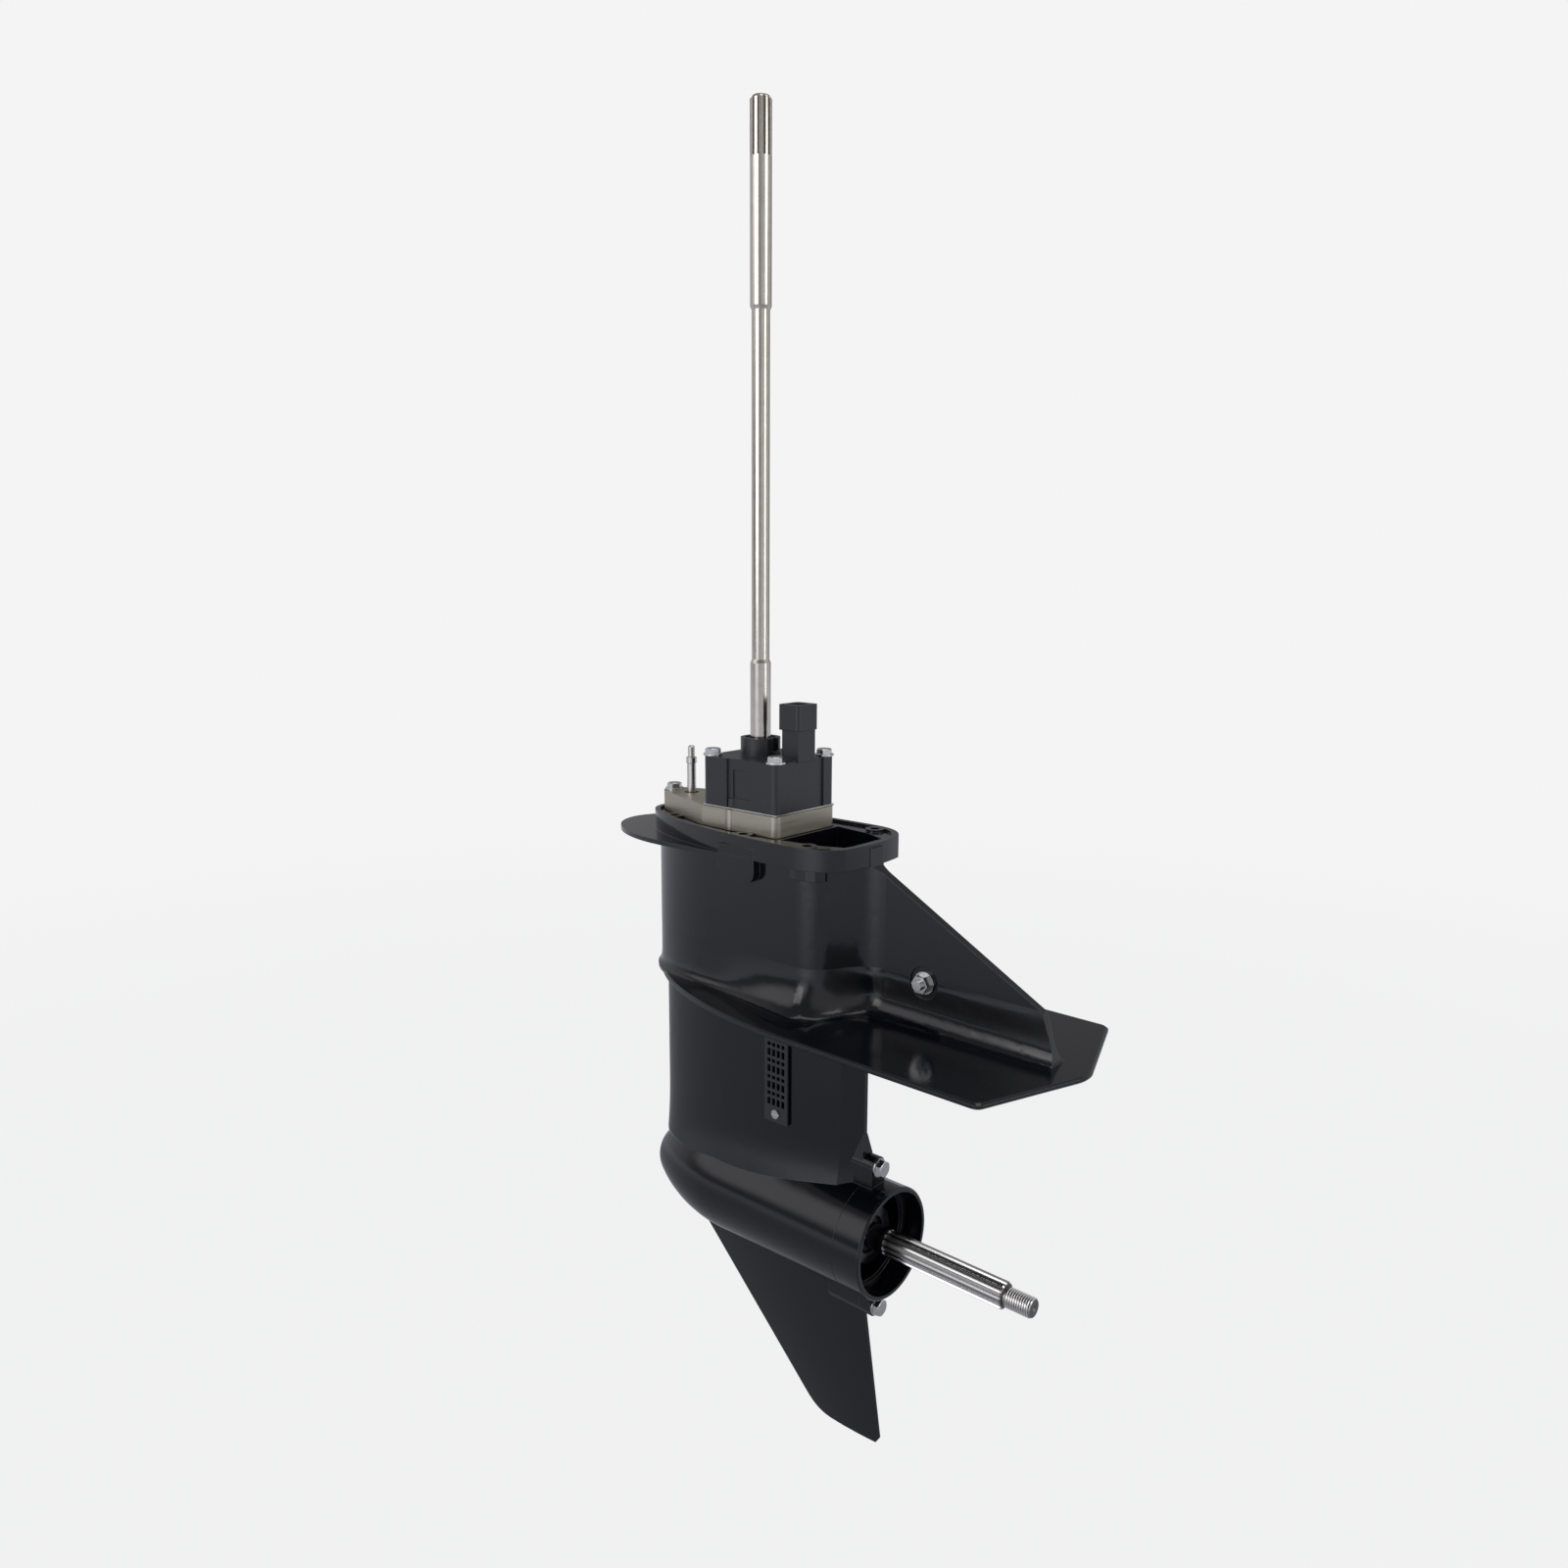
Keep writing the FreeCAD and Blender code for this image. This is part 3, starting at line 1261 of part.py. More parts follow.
def bearings():
    start, width = S.gear_cup_start, S.gear_cup_width
    cup = new_body("forward_bearing_cup")
    outer = S.gear_cup_radius
    revolve(cup, [
        (outer - 4, start), (outer, start), (outer, start + width), (outer - 7, start + width)
    ])
    on_prop_axis(cup, False)
    cone = new_body("forward_bearing_cone")
    inner = S.hub_radius + S.fit_gap
    revolve(cone, [
        (inner, start),
        (inner + 4, start),
        (outer - 4.12 - S.fit_gap * 2, start + 0.6),
        (outer - 6.8 - S.fit_gap * 2, start + width - 1),
        (inner + 2.5, start + width),
        (inner, start + width),
    ])
    on_prop_axis(cone, False)
    on_prop_axis(ring("reverse_bearing_outer", outer - 5.5, outer, start, start + width))
    on_prop_axis(ring("reverse_bearing_inner", inner, inner + 4.5, start, start + width))
    cage = new_body("reverse_bearing_cage")
    inside, outside = S.hub_radius + 4.6, outer - 5.6
    middle = start + width * 0.5
    revolve(cage, [
        (inside, middle - 2),
        (outside, middle - 2),
        (outside, middle + 2),
        (inside, middle + 2),
    ])
    on_prop_axis(cage)
    low = AXIS + S.pinion_top
    wide = S.shaft_cup_width
    reach = S.shaft_cup_radius
    shaft_cup = new_body("driveshaft_bearing_cup")
    revolve(shaft_cup, [
        (reach - 2.5, low + 1.5), (reach, low + 1.5), (reach, low + wide), (reach - 5, low + wide)
    ])
    shaft_cone = new_body("driveshaft_bearing_cone")
    seat = S.cone_seat_radius + S.fit_gap
    revolve(shaft_cone, [
        (seat, low),
        (seat + 4.4, low),
        (reach - 2.62 - S.fit_gap * 2, low + 2.2),
        (reach - 4.8 - S.fit_gap * 2, low + wide - 1.2),
        (seat + 2, low + wide),
        (seat, low + wide),
    ])
    ring(
        "driveshaft_needle_bearing", S.shaft_radius + S.fit_gap * 2, S.shaft_bore - S.fit_gap, -62, -40
    )
    on_prop_axis(ring(
        "carrier_needle_bearing", S.tail_radius + S.fit_gap * 2, S.needle_radius, 85, 106
    ))
    on_prop_axis(ring(
        "carrier_seals", S.tail_radius + S.fit_gap * 3, S.needle_radius + 1, 108.5, 122
    ))


def carrier_o_ring():
    body = ring(
        "carrier_o_ring", S.carrier_bore - 2.7, S.carrier_bore - S.fit_gap * 3, 57.3, 59.9
    )
    on_prop_axis(body)


# Bearing carrier

def bearing_carrier():
    """Hub for bearing and seals, spigot and aft ring, joined by ribs, with two bolt ears."""
    front, start = N.carrier_front, N.torpedo_end
    spigot = N.carrier_bore - 0.08
    seat = N.gear_cup_radius + N.fit_gap
    hub = N.carrier_hub
    cup_end = N.gear_cup_start + N.gear_cup_width
    needle = N.needle_radius + N.fit_gap
    core = turned_on_axis([
        (front, seat),
        (front, spigot),
        (57, spigot),
        (57, spigot - 2.9),
        (60.2, spigot - 2.9),
        (60.2, spigot),
        (63, spigot),
        (66, spigot - 5),
        (78, hub),
        (N.carrier_hub_end, hub),
        (N.carrier_hub_end, needle + 1),
        (108, needle + 1),
        (108, needle),
        (84.5, needle),
        (84.5, 12.5),
        (70, 12.5),
        (70, N.hub_radius),
        (N.hub_end + 2, N.hub_radius),
        (N.hub_end + 2, seat - 4),
        (cup_end, seat - 4),
        (cup_end, seat),
    ])
    outer = N.torpedo_end_radius - 0.2
    inner = spigot - 4
    rim = turned_on_axis([
        (start - 20, inner), (start - 20, spigot), (start, spigot), (start, outer),
        (N.ring_end - 1.5, outer), (N.ring_end, outer - 1.2), (N.ring_end, outer - N.ring_wall + 0.6),
        (start + 6, outer - N.ring_wall), (start + 6, inner),
    ])
    ribs = []
    for number in range(4):
        rib = box(start - 18, start + 3, -2.4, 2.4, hub - 1.5, inner + 1)
        rib.rotate(Vector(0, 0, 0), Vector(1, 0, 0), 45 + 90 * number)
        rib.translate(COG)
        ribs.append(rib)
    ears = []
    for side in (-1, 1):
        z = side * N.ear_reach
        ears.append(rod(N.ear_half, (start, 0, z), (start + N.ear_thick, 0, z)))
        low, high = sorted((side * (outer - 2), z))
        ears.append(box(start, start + N.ear_thick, -N.ear_half, N.ear_half, low, high))
    for ear in ears:
        ear.translate(COG)
    shape = core.fuse([rim] + ribs + ears)
    cuts = []
    for side in (-1, 1):
        z = side * N.ear_reach - N.prop_drop
        cuts.append(rod(N.large_bolt + 0.2, (start - 1, 0, z), (start + N.ear_thick + 1, 0, z)))
    free_shape("bearing_carrier", shape.cut(cuts).removeSplitter())


# Water pump

def pump_outline():
    """Plan of the pump housing: four corner columns with shallow panels between them."""
    front, back, half = -S.pump_front, S.pump_back, S.pump_half
    column = S.pump_bolt_inset * 2 + 2
    step, start = S.panel_step, -S.panel_front
    return [
        (front, -half), (start, -half), (start, -half + step),
        (back - column, -half + step), (back - column, -half), (back, -half),
        (back, -half + column), (back - step, -half + column), (back - step, half - column),
        (back, half - column), (back, half), (back - column, half),
        (back - column, half - step), (start, half - step), (start, half),
        (front, half), (front, half - column), (front + step, half - column),
        (front + step, -half + column), (front, -half + column),
    ]


def outer_corner(edge):
    """Whether an upright edge is one of the pump's four outside corners."""
    point = edge.Vertexes[0].Point
    reach = min(abs(point.x + N.pump_front), abs(point.x - N.pump_back)) < 1.2
    return upright(edge) and reach and abs(abs(point.y) - N.pump_half) < 1.2


def bolt_circles(radius):
    inset = S.pump_bolt_inset
    return [
        (x, y, radius)
        for x in (-S.pump_front + inset, S.pump_back - inset)
        for y in (-S.pump_half + inset, S.pump_half - inset)
    ]


def pump_housing():
    body = new_body("pump_housing")
    block = pad(body, PUMP_LOW, S.pump_height, pump_outline())
    round_edges(body, block, S.pump_bolt_inset - 0.4, outer_corner)
    doc.recompute()
    pad(body, PUMP_TOP - 1, S.neck_height + 1, circle=(0, 0, S.neck_radius))
    tower = rectangle(S.tower_front, S.pump_back, -S.tower_half, S.tower_half)
    shaft = pad(body, PUMP_TOP - 1, S.tower_height - S.tower_collar + 2, tower)
    round_edges(body, shaft, 2.5, tower_corner)
    doc.recompute()
    lip = S.tower_lip
    collar = rectangle(
        S.tower_front - lip, S.pump_back + lip, -S.tower_half - lip, S.tower_half + lip
    )
    head = pad(body, PUMP_TOP + S.tower_height - S.tower_collar, S.tower_collar, collar)
    round_edges(body, head, 3.5, collar_corner)
    doc.recompute()
    deep = S.pump_height + S.tower_height + 2
    tower_top = PUMP_TOP + S.tower_height
    pocket(body, tower_top + 1, S.seal_length + 1, circles=[(tower_middle(), 0, S.tower_bore)])
    pocket(body, tower_top + 1, deep - 12, circles=[(tower_middle(), 0, S.water_bore - 0.5)])
    pocket(body, PUMP_TOP + S.neck_height + 1, deep, circles=[(0, 0, S.shaft_radius + 1.5)])
    pocket(body, PUMP_TOP + S.neck_height + 1, 9, circles=[(0, 0, S.neck_radius - 4)])
    chamber = (S.chamber_offset, 0, S.chamber_radius)
    pocket(body, PUMP_LOW + S.chamber_height, S.chamber_height + 1, circles=[chamber])
    gallery = rectangle(S.chamber_offset + 20, tower_middle() + 4, -4, 4)
    pocket(body, PUMP_LOW + S.chamber_height - 6, S.chamber_height, gallery)
    pocket(body, PUMP_TOP + 1, S.pump_height + 2, circles=bolt_circles(S.small_bolt + 0.2))
    slot = rectangle(S.neck_radius - 4.1, S.neck_radius + 1, -4.5, 4.5)
    pocket(body, PUMP_TOP + S.neck_height + 1, S.neck_height - 3, slot)
    side_panels(body)


def side_panels(body):
    """A deeper field in each side panel, and a small lug at its lower forward corner."""
    side = S.pump_half - S.panel_step
    for way in (-1, 1):
        low, high = sorted((way * (side - 1), way * (side + 1)), key=float)
        field = rectangle(S.panel_front - 2, S.panel_front + 18, low, high)
        pocket(body, PUMP_TOP - 9, 24, field)
        pad(body, PUMP_LOW, 8, circle=(0, way * (side - 2), 4))


def tower_middle():
    return (S.tower_front + S.pump_back) * 0.5


def tower_corner(edge):
    point = edge.Vertexes[0].Point
    tall = edge.Length < N.tower_height
    near = abs(abs(point.y) - N.tower_half) < 0.01 and point.x > N.tower_front - 1
    return upright(edge) and near and tall and min(v.Z for v in edge.Vertexes) > float(PUMP_TOP) - 0.5


def collar_corner(edge):
    point = edge.Vertexes[0].Point
    return upright(edge) and abs(abs(point.y) - N.tower_half - N.tower_lip) < 0.01


def pump_liner():
    body = new_body("pump_liner")
    outer = S.chamber_radius - S.fit_gap
    inner = outer - S.liner_wall
    top = PUMP_LOW + S.chamber_height
    hole = S.shaft_radius + 4
    revolve(body, [
        (inner, PUMP_LOW), (outer, PUMP_LOW), (outer, top), (hole, top), (hole, top - S.liner_wall),
        (inner, top - S.liner_wall),
    ])
    body.Placement = Placement(Vector(N.chamber_offset, 0, 0), Rotation())
    bind(body, "Placement.Base.x", S.chamber_offset)


def impeller():
    body = new_body("impeller")
    low = PUMP_LOW + 0.8
    height = S.chamber_height - S.liner_wall - 1.6
    pad(body, low, height, circle=(0, 0, S.shaft_radius + 4.5))
    vane = pad(body, low, height, [
        (S.shaft_radius + 2, -1.6), (S.impeller_radius - 1, -1.3), (S.impeller_radius, 0),
        (S.impeller_radius - 1, 1.3), (S.shaft_radius + 2, 1.6),
    ])
    repeat_round(body, vane, 6)
    doc.recompute()
    pocket(body, low + height + 1, height + 2, circles=[(0, 0, S.shaft_radius + S.fit_gap)])
    half = S.fit_gap + 1.5
    keyway = rectangle(0, S.shaft_radius + S.fit_gap + 2, -half, half)
    pocket(body, low + height + 1, height + 2, keyway)


def plan_outline(grow):
    """Plan of pump base and gasket: the pump's block with a tongue that reaches forward."""
    front, half = -S.pump_front - grow, S.pump_half + grow
    tongue = S.base_bolt_place + 7 + grow
    return [
        (S.pump_back + grow, -half), (S.pump_back + grow, half), (front, half),
        (-S.base_bolt_place, 12 + grow), (-tongue, 6), (-tongue, -6), (-S.base_bolt_place, -12 - grow),
        (front, -half),
    ]


def shift_circle(radius):
    return (-S.shift_place, 0, radius)


def pump_base():
    body = new_body("pump_base")
    block = pad(body, BASE_LOW, S.base_height, plan_outline(as_size(0.5)))
    round_edges(body, block, 6, upright)
    doc.recompute()
    pad(body, BASE_LOW - 12, 13, circle=(0, 0, S.shaft_bore - S.fit_gap))
    for side in (-1, 1):
        pad(body, BASE_LOW, S.base_height, circle=(-1, side * (S.pump_half - 2.5), 5))
    doc.recompute()
    circles = bolt_circles(S.small_bolt + 0.2)
    circles.append((-S.base_bolt_place, 0, S.small_bolt + 0.2))
    pocket(body, BASE_TOP + 1, S.base_height + 2, circles=circles)
    pocket(body, BASE_TOP + 1, S.base_height + 20, circles=[(0, 0, S.shaft_radius + 0.5)])
    pocket(body, BASE_TOP + 1, 12, circles=[(0, 0, S.shaft_bore - 1)])
    pocket(body, BASE_TOP + 1, S.base_height + 2, circles=[shift_circle(S.shift_radius + 0.5)])
    pocket(body, BASE_TOP + 1, 9, circles=[shift_circle(S.shift_radius + 3)])
    pocket(body, BASE_LOW + 6, 7, rectangle(16.5, S.inlet_back - 9, -12, 12))
    pocket(body, BASE_TOP + 1, S.base_height, rectangle(16.5, 22.5, -6, 6))
    dowels = [
        (-S.dowel_place, side * S.dowel_half, S.dowel_radius + S.fit_gap) for side in (-1, 1)
    ]
    pocket(body, BASE_LOW + 6, 7, circles=dowels)


def flat_pieces():
    """Gaskets and the wear plate."""
    gasket = new_body("pump_base_gasket")
    pad(gasket, DECK, S.gasket_thick, plan_outline(as_size(0)))
    doc.recompute()
    holes = bolt_circles(S.small_bolt + 0.3)
    holes.append((-S.base_bolt_place, 0, S.small_bolt + 0.3))
    holes.append((0, 0, S.shaft_bore + 0.3))
    holes.append(shift_circle(S.cam_radius + 0.5))
    for side in (-1, 1):
        holes.append((-S.dowel_place, side * S.dowel_half, S.dowel_radius + 0.3))
    pocket(gasket, BASE_LOW + 1, 3, circles=holes)
    pocket(gasket, BASE_LOW + 1, 3, rectangle(17, S.inlet_back - 9, -12, 12))
    for label, low, thick in (
        ("wear_plate_gasket", BASE_TOP, S.gasket_thick),
        ("wear_plate", BASE_TOP + S.gasket_thick, S.wear_thick),
    ):
        sheet_metal = new_body(label)
        pad(sheet_metal, low, thick, rectangle(
            -S.pump_front + 0.5, S.pump_back - 0.5, -S.pump_half + 0.5, S.pump_half - 0.5
        ))
        doc.recompute()
        holes = bolt_circles(S.small_bolt + 0.3) + [(0, 0, S.shaft_radius + 1.5)]
        pocket(sheet_metal, low + thick + 1, 3, circles=holes)
        pocket(sheet_metal, low + thick + 1, 3, rectangle(16.5, 22.5, -6, 6))


def pump_seals():
    ring("driveshaft_seals", S.shaft_radius + S.fit_gap * 2, S.shaft_bore - 1 - S.fit_gap,
         BASE_TOP - 11, BASE_TOP - 0.5)
    rod_seal = ring("shift_rod_seal", S.shift_radius + S.fit_gap * 2, S.shift_radius + 3 - S.fit_gap,
                    BASE_TOP - 8, BASE_TOP - 0.5)
    rod_seal.Placement = Placement(Vector(-N.shift_place, 0, 0), Rotation())
    bind(rod_seal, "Placement.Base.x", -S.shift_place)
    ring("driveshaft_grommet", S.shaft_radius + S.fit_gap * 2, S.neck_radius - 4 - S.fit_gap,
         PUMP_TOP + S.neck_height - 8, PUMP_TOP + S.neck_height - 1)
    top = PUMP_TOP + S.tower_height
    tube_seal = ring(
        "water_tube_seal", S.water_bore, S.tower_bore - S.fit_gap, top - S.seal_length, top
    )
    tube_seal.Placement = Placement(Vector(float(tower_middle()), 0, 0), Rotation())
    bind(tube_seal, "Placement.Base.x", tower_middle())


# Fasteners

def hexagon_spots(half_flats):
    """Corners of a hexagon round the origin, as plain numbers."""
    return [(float(x), float(y)) for x, y in hexagon(as_size(0), as_size(0), half_flats)]


def hex_bolt(radius, half_flats, head, length):
    """A bolt that points down from its seat at the origin."""
    reach = half_flats / math.cos(math.radians(30))
    block = prism(outline_wire(hexagon_spots(half_flats), 0), head)
    dome = turned_upright([
        (0, 0), (reach, 0), (reach, head - 0.9), (half_flats - 0.4, head), (0, head)
    ])
    return block.common(dome).fuse(Part.makeCylinder(radius, length, Vector(0, 0, -length)))


def seated(bolt, radius, thick):
    """A bolt with its captive washer, seated on the washer's underside."""
    bolt = bolt.copy()
    bolt.translate(Vector(0, 0, thick))
    return bolt.fuse(Part.makeCylinder(radius, thick)).removeSplitter()


def fasteners():
    thick = N.washer_thick
    top = float(PUMP_TOP)
    small = hex_bolt(N.small_bolt, N.small_head, 4.5, top + thick + 16)
    small = seated(small, N.small_washer, thick)
    group("pump_bolts", small, [at(x, y, top) for x, y in pump_bolt_places()])
    base_top = float(BASE_TOP)
    front = seated(
        hex_bolt(N.small_bolt, N.small_head, 4.5, base_top + thick + 14), N.small_washer, thick
    )
    group("base_bolt", front, [at(-N.base_bolt_place, 0, base_top)])
    aft = Rotation(Vector(0, 1, 0), 90)
    large = seated(
        hex_bolt(N.large_bolt, N.large_head, 5.5, N.ear_thick + thick + 22),
        N.large_washer - 1,
        thick,
    )
    seat = N.torpedo_end + N.ear_thick
    heights = [side * N.ear_reach - N.prop_drop for side in (-1, 1)]
    group("carrier_bolts", large, [at(seat, 0, z, aft) for z in heights])
    pin = Part.makeCylinder(N.dowel_radius, 14)
    group("dowel_pins", pin, [at(x, y, -10) for x, y in dowel_places()])
    web_fasteners(thick)


def web_fasteners(thick):
    """Bolt through the web, with a nut on its port side."""
    floor = N.web_half - N.web_dish
    place, z = N.stud_place, -N.stud_drop
    bolt = hex_bolt(N.large_bolt, N.stud_flats, 5.5, 2 * floor + 2 * thick + 10)
    bolt = seated(bolt, N.stud_washer, thick)
    group("web_bolt", bolt, [at(place, floor, z, Rotation(Vector(1, 0, 0), -90))])
    nut = prism(outline_wire(hexagon_spots(N.stud_flats), thick), 6.5)
    nut = nut.fuse(Part.makeCylinder(N.stud_washer, thick))
    nut = nut.cut(Part.makeCylinder(N.large_bolt + N.fit_gap, 10)).removeSplitter()
    group("web_nut", nut, [at(place, -floor, z, Rotation(Vector(1, 0, 0), 90))])


def oil_plugs():
    for label, (z, y) in zip(("oil_level_plug", "oil_drain_plug"), plug_seats()):
        head = Part.makeCylinder(N.plug_head, 3.2)
        shank = Part.makeCylinder(N.plug_radius, 7.5, Vector(0, 0, -7.5))
        slot = box(-N.plug_head, N.plug_head, -0.9, 0.9, 1.6, 4)
        plug = head.fuse(shank).cut(slot).removeSplitter()
        group(label, plug, [at(-N.plug_place, y, z, Rotation(Vector(1, 0, 0), -90))])


def inlet_covers():
    """Cast grilles with rows of small holes and taller slots, each held by one screw."""
    low, high = N.inlet_low - N.prop_drop, N.inlet_high - N.prop_drop
    front, back = N.inlet_front, N.inlet_back
    x, screw_z = inlet_screw_place()
    columns, rows = 4, 5
    step = (back - front - 5) / columns
    rise = (high - low - 18) / rows
    for label, side in (("water_inlet_cover_port", -1), ("water_inlet_cover_starboard", 1)):
        y_low, y_high = sorted((side * N.inlet_face, side * (N.inlet_face - N.inlet_thick)))
        slab = box(front, back, y_low, y_high, low, high)
        holes = [rod(2.2, (x, y_low - 1, screw_z), (x, y_high + 1, screw_z))]
        for column in range(columns):
            left = front + 2.5 + step * column + step * 0.17
            right = left + step * 0.66
            for row in range(rows):
                base = low + 15 + rise * row
                holes.append(box(left, right, y_low - 1, y_high + 1, base, base + rise * 0.42))
                holes.append(box(
                    left, right, y_low - 1, y_high + 1, base + rise * 0.6, base + rise * 0.82
                ))
        free_shape(label, slab.cut(holes))
    head = Part.makeCylinder(4, 1.6).fuse(Part.makeCylinder(2, 9, Vector(0, 0, -9)))
    head = head.cut(box(-4, 4, -0.5, 0.5, 0.8, 2)).removeSplitter()
    group("inlet_cover_screws", head, [
        at(x, -N.inlet_face, screw_z, Rotation(Vector(1, 0, 0), 90)),
        at(x, N.inlet_face, screw_z, Rotation(Vector(1, 0, 0), -90)),
    ])


def impeller_key():
    body = new_body("impeller_key")
    pad(body, PUMP_LOW + 4, 12, rectangle(S.shaft_radius, S.shaft_radius + 2, -1.5, 1.5))


# Build every piece

gearcase()
driveshaft()
prop_shaft()
thrust_washer()
large_gear("forward_gear", False)
large_gear("reverse_gear", True)
pinion_gear()
pinion_nut()
clutch_dog()
clutch_cross_pin()
clutch_spring_ring()
shift_plunger()
shift_cam()
shift_rod()
bearings()
carrier_o_ring()
bearing_carrier()
pump_base()
flat_pieces()
pump_housing()
pump_liner()
impeller()
impeller_key()
pump_seals()
fasteners()
oil_plugs()
inlet_covers()
doc.recompute()

faults = [thing.Name for thing in doc.Objects if {"Invalid", "Error"} & set(thing.State)]
for node in NODES:
    if node.Shape.isNull() or not node.Shape.isValid() or not node.Shape.Solids:
        faults.append(node.Label)
if faults:
    raise RuntimeError(f"These did not build: {faults}")
for node in NODES:
    shape = node.Shape
    print(node.Label, len(shape.Solids), round(shape.Volume), len(shape.Faces))
    shape.exportStep(f"parts/{node.Label}.step")
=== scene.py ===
# %% [markdown]
# # An outboard lower unit
#
# The lower unit is the part of an outboard motor that hangs in the water. A long driveshaft brings
# the engine's power down through a water pump to a set of bevel gears, and these turn the
# propeller shaft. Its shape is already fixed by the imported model, so this lesson gives it a
# camera, a studio, its finishes and the fine work that the plain solids leave out.

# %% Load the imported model
import json
import math

import bmesh
import bpy
from mathutils import Matrix, Vector


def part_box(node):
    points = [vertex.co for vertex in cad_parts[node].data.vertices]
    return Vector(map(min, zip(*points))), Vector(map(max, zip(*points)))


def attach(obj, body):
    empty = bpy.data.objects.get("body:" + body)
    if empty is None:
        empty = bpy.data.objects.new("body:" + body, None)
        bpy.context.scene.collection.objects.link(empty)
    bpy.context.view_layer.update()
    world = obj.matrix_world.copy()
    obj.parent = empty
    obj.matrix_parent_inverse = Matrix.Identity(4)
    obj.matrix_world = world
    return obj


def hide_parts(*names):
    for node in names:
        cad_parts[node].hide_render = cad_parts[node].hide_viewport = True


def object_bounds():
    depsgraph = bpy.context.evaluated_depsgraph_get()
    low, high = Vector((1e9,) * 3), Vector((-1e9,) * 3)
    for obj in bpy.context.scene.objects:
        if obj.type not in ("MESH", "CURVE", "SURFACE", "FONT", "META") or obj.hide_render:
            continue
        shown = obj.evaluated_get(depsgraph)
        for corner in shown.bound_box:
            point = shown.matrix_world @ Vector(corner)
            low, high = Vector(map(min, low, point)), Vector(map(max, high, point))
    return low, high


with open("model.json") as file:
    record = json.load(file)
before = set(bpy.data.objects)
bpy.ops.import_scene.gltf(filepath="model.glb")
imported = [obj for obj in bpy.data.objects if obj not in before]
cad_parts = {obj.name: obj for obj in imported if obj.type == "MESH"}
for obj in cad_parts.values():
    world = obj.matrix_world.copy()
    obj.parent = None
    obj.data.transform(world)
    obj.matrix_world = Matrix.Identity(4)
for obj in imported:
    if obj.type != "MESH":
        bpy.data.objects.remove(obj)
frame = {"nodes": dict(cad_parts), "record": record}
cad_box = [list(corner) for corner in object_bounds()]
nodes = frame["nodes"]
print(len(nodes), "nodes, box from", cad_box[0], "to", cad_box[1])

# %% [markdown]
# ## The camera
#
# The photograph was taken from behind and to port, a little above the unit's middle. The view is
# set by the turn round the unit, the tilt down, a trace of roll, the distance, and the point that
# the lens aims at. A matrix made of three turns is easier to read than Euler angles worked out
# elsewhere.

# %% Camera
VIEW_TURN = math.radians(41.322)
VIEW_TILT = math.radians(9.918)
VIEW_ROLL = math.radians(0.238)
DISTANCE = 1.0119
AIM = Vector((0.0151, 0.0133, 0.0329))
SENSOR = 36.0
LENS = 27.0985

scene = bpy.context.scene
lens = bpy.data.cameras.new("camera")
lens.sensor_width = SENSOR
lens.lens = LENS
lens.clip_start = 0.01
camera = bpy.data.objects.new("camera", lens)
scene.collection.objects.link(camera)
turn = (
    Matrix.Rotation(VIEW_TURN, 4, "Z")
    @ Matrix.Rotation(math.pi / 2 - VIEW_TILT, 4, "X")
    @ Matrix.Rotation(VIEW_ROLL, 4, "Z")
)
camera.matrix_world = Matrix.Translation(AIM + turn.to_3x3() @ Vector((0, 0, DISTANCE))) @ turn
scene.camera = camera
scene.view_settings.view_transform = "Standard"
print("camera at", [round(v, 3) for v in camera.matrix_world.translation])

# %% [markdown]
# ## Adding nodes
#
# Every finish below is a small tree of shader nodes. One helper adds a node with its settings and
# its inputs, where an input is either a plain value or another node's output. Colours are written
# as the hex values that a paint chart gives, and one function turns them to the linear light that
# Cycles works in. The short functions after these two name the few steps that come again and
# again: a range, a vector operation, a blend of shaders or of colours, and an empty material.

# %% Node helpers
def linear(code):
    """Linear colour of an sRGB hex value such as "#f4f4f4"."""
    parts = [int(code[i:i + 2], 16) / 255 for i in (1, 3, 5)]
    return [p / 12.92 if p <= 0.04045 else ((p + 0.055) / 1.055) ** 2.4 for p in parts] + [1.0]


def add(tree, kind, inputs=None, **settings):
    """A node of one kind, with its settings, its values and its links."""
    node = tree.nodes.new(kind)
    for name, value in settings.items():
        setattr(node, name, value)
    for name, value in (inputs or {}).items():
        socket = node.inputs[name]
        if isinstance(value, bpy.types.NodeSocket):
            tree.links.new(value, socket)
        else:
            socket.default_value = value
    return node


def ramp(tree, value, start=0.0, end=1.0, low=0.0, high=1.0, smooth=False):
    """A value carried from one range to another, and held inside the second."""
    return add(tree, "ShaderNodeMapRange", {
        "Value": value, "From Min": start, "From Max": end, "To Min": low, "To Max": high,
    }, interpolation_type="SMOOTHSTEP" if smooth else "LINEAR").outputs[0]


def vector(tree, operation, one, other=(0, 0, 0), gives="Vector"):
    """The result of a vector operation: a vector, or a number where it gives a value."""
    return add(tree, "ShaderNodeVectorMath", {0: one, 1: other}, operation=operation).outputs[gives]


def mix_shaders(tree, factor, one, other):
    """The first shader at factor 0 and the second at factor 1."""
    return add(tree, "ShaderNodeMixShader", {0: factor, 1: one, 2: other}).outputs[0]


def mix_colours(tree, factor, one, other):
    """The first colour at factor 0 and the second at factor 1."""
    return add(tree, "ShaderNodeMix", {"Factor": factor, "A": one, "B": other},
               data_type="RGBA").outputs["Result"]


def new_material(name):
    """An empty material with its node tree."""
    material = bpy.data.materials.new(name)
    material.use_nodes = True
    material.node_tree.nodes.clear()
    return material, material.node_tree


print("linear grey of #808080 is", round(linear("#808080")[0], 3))

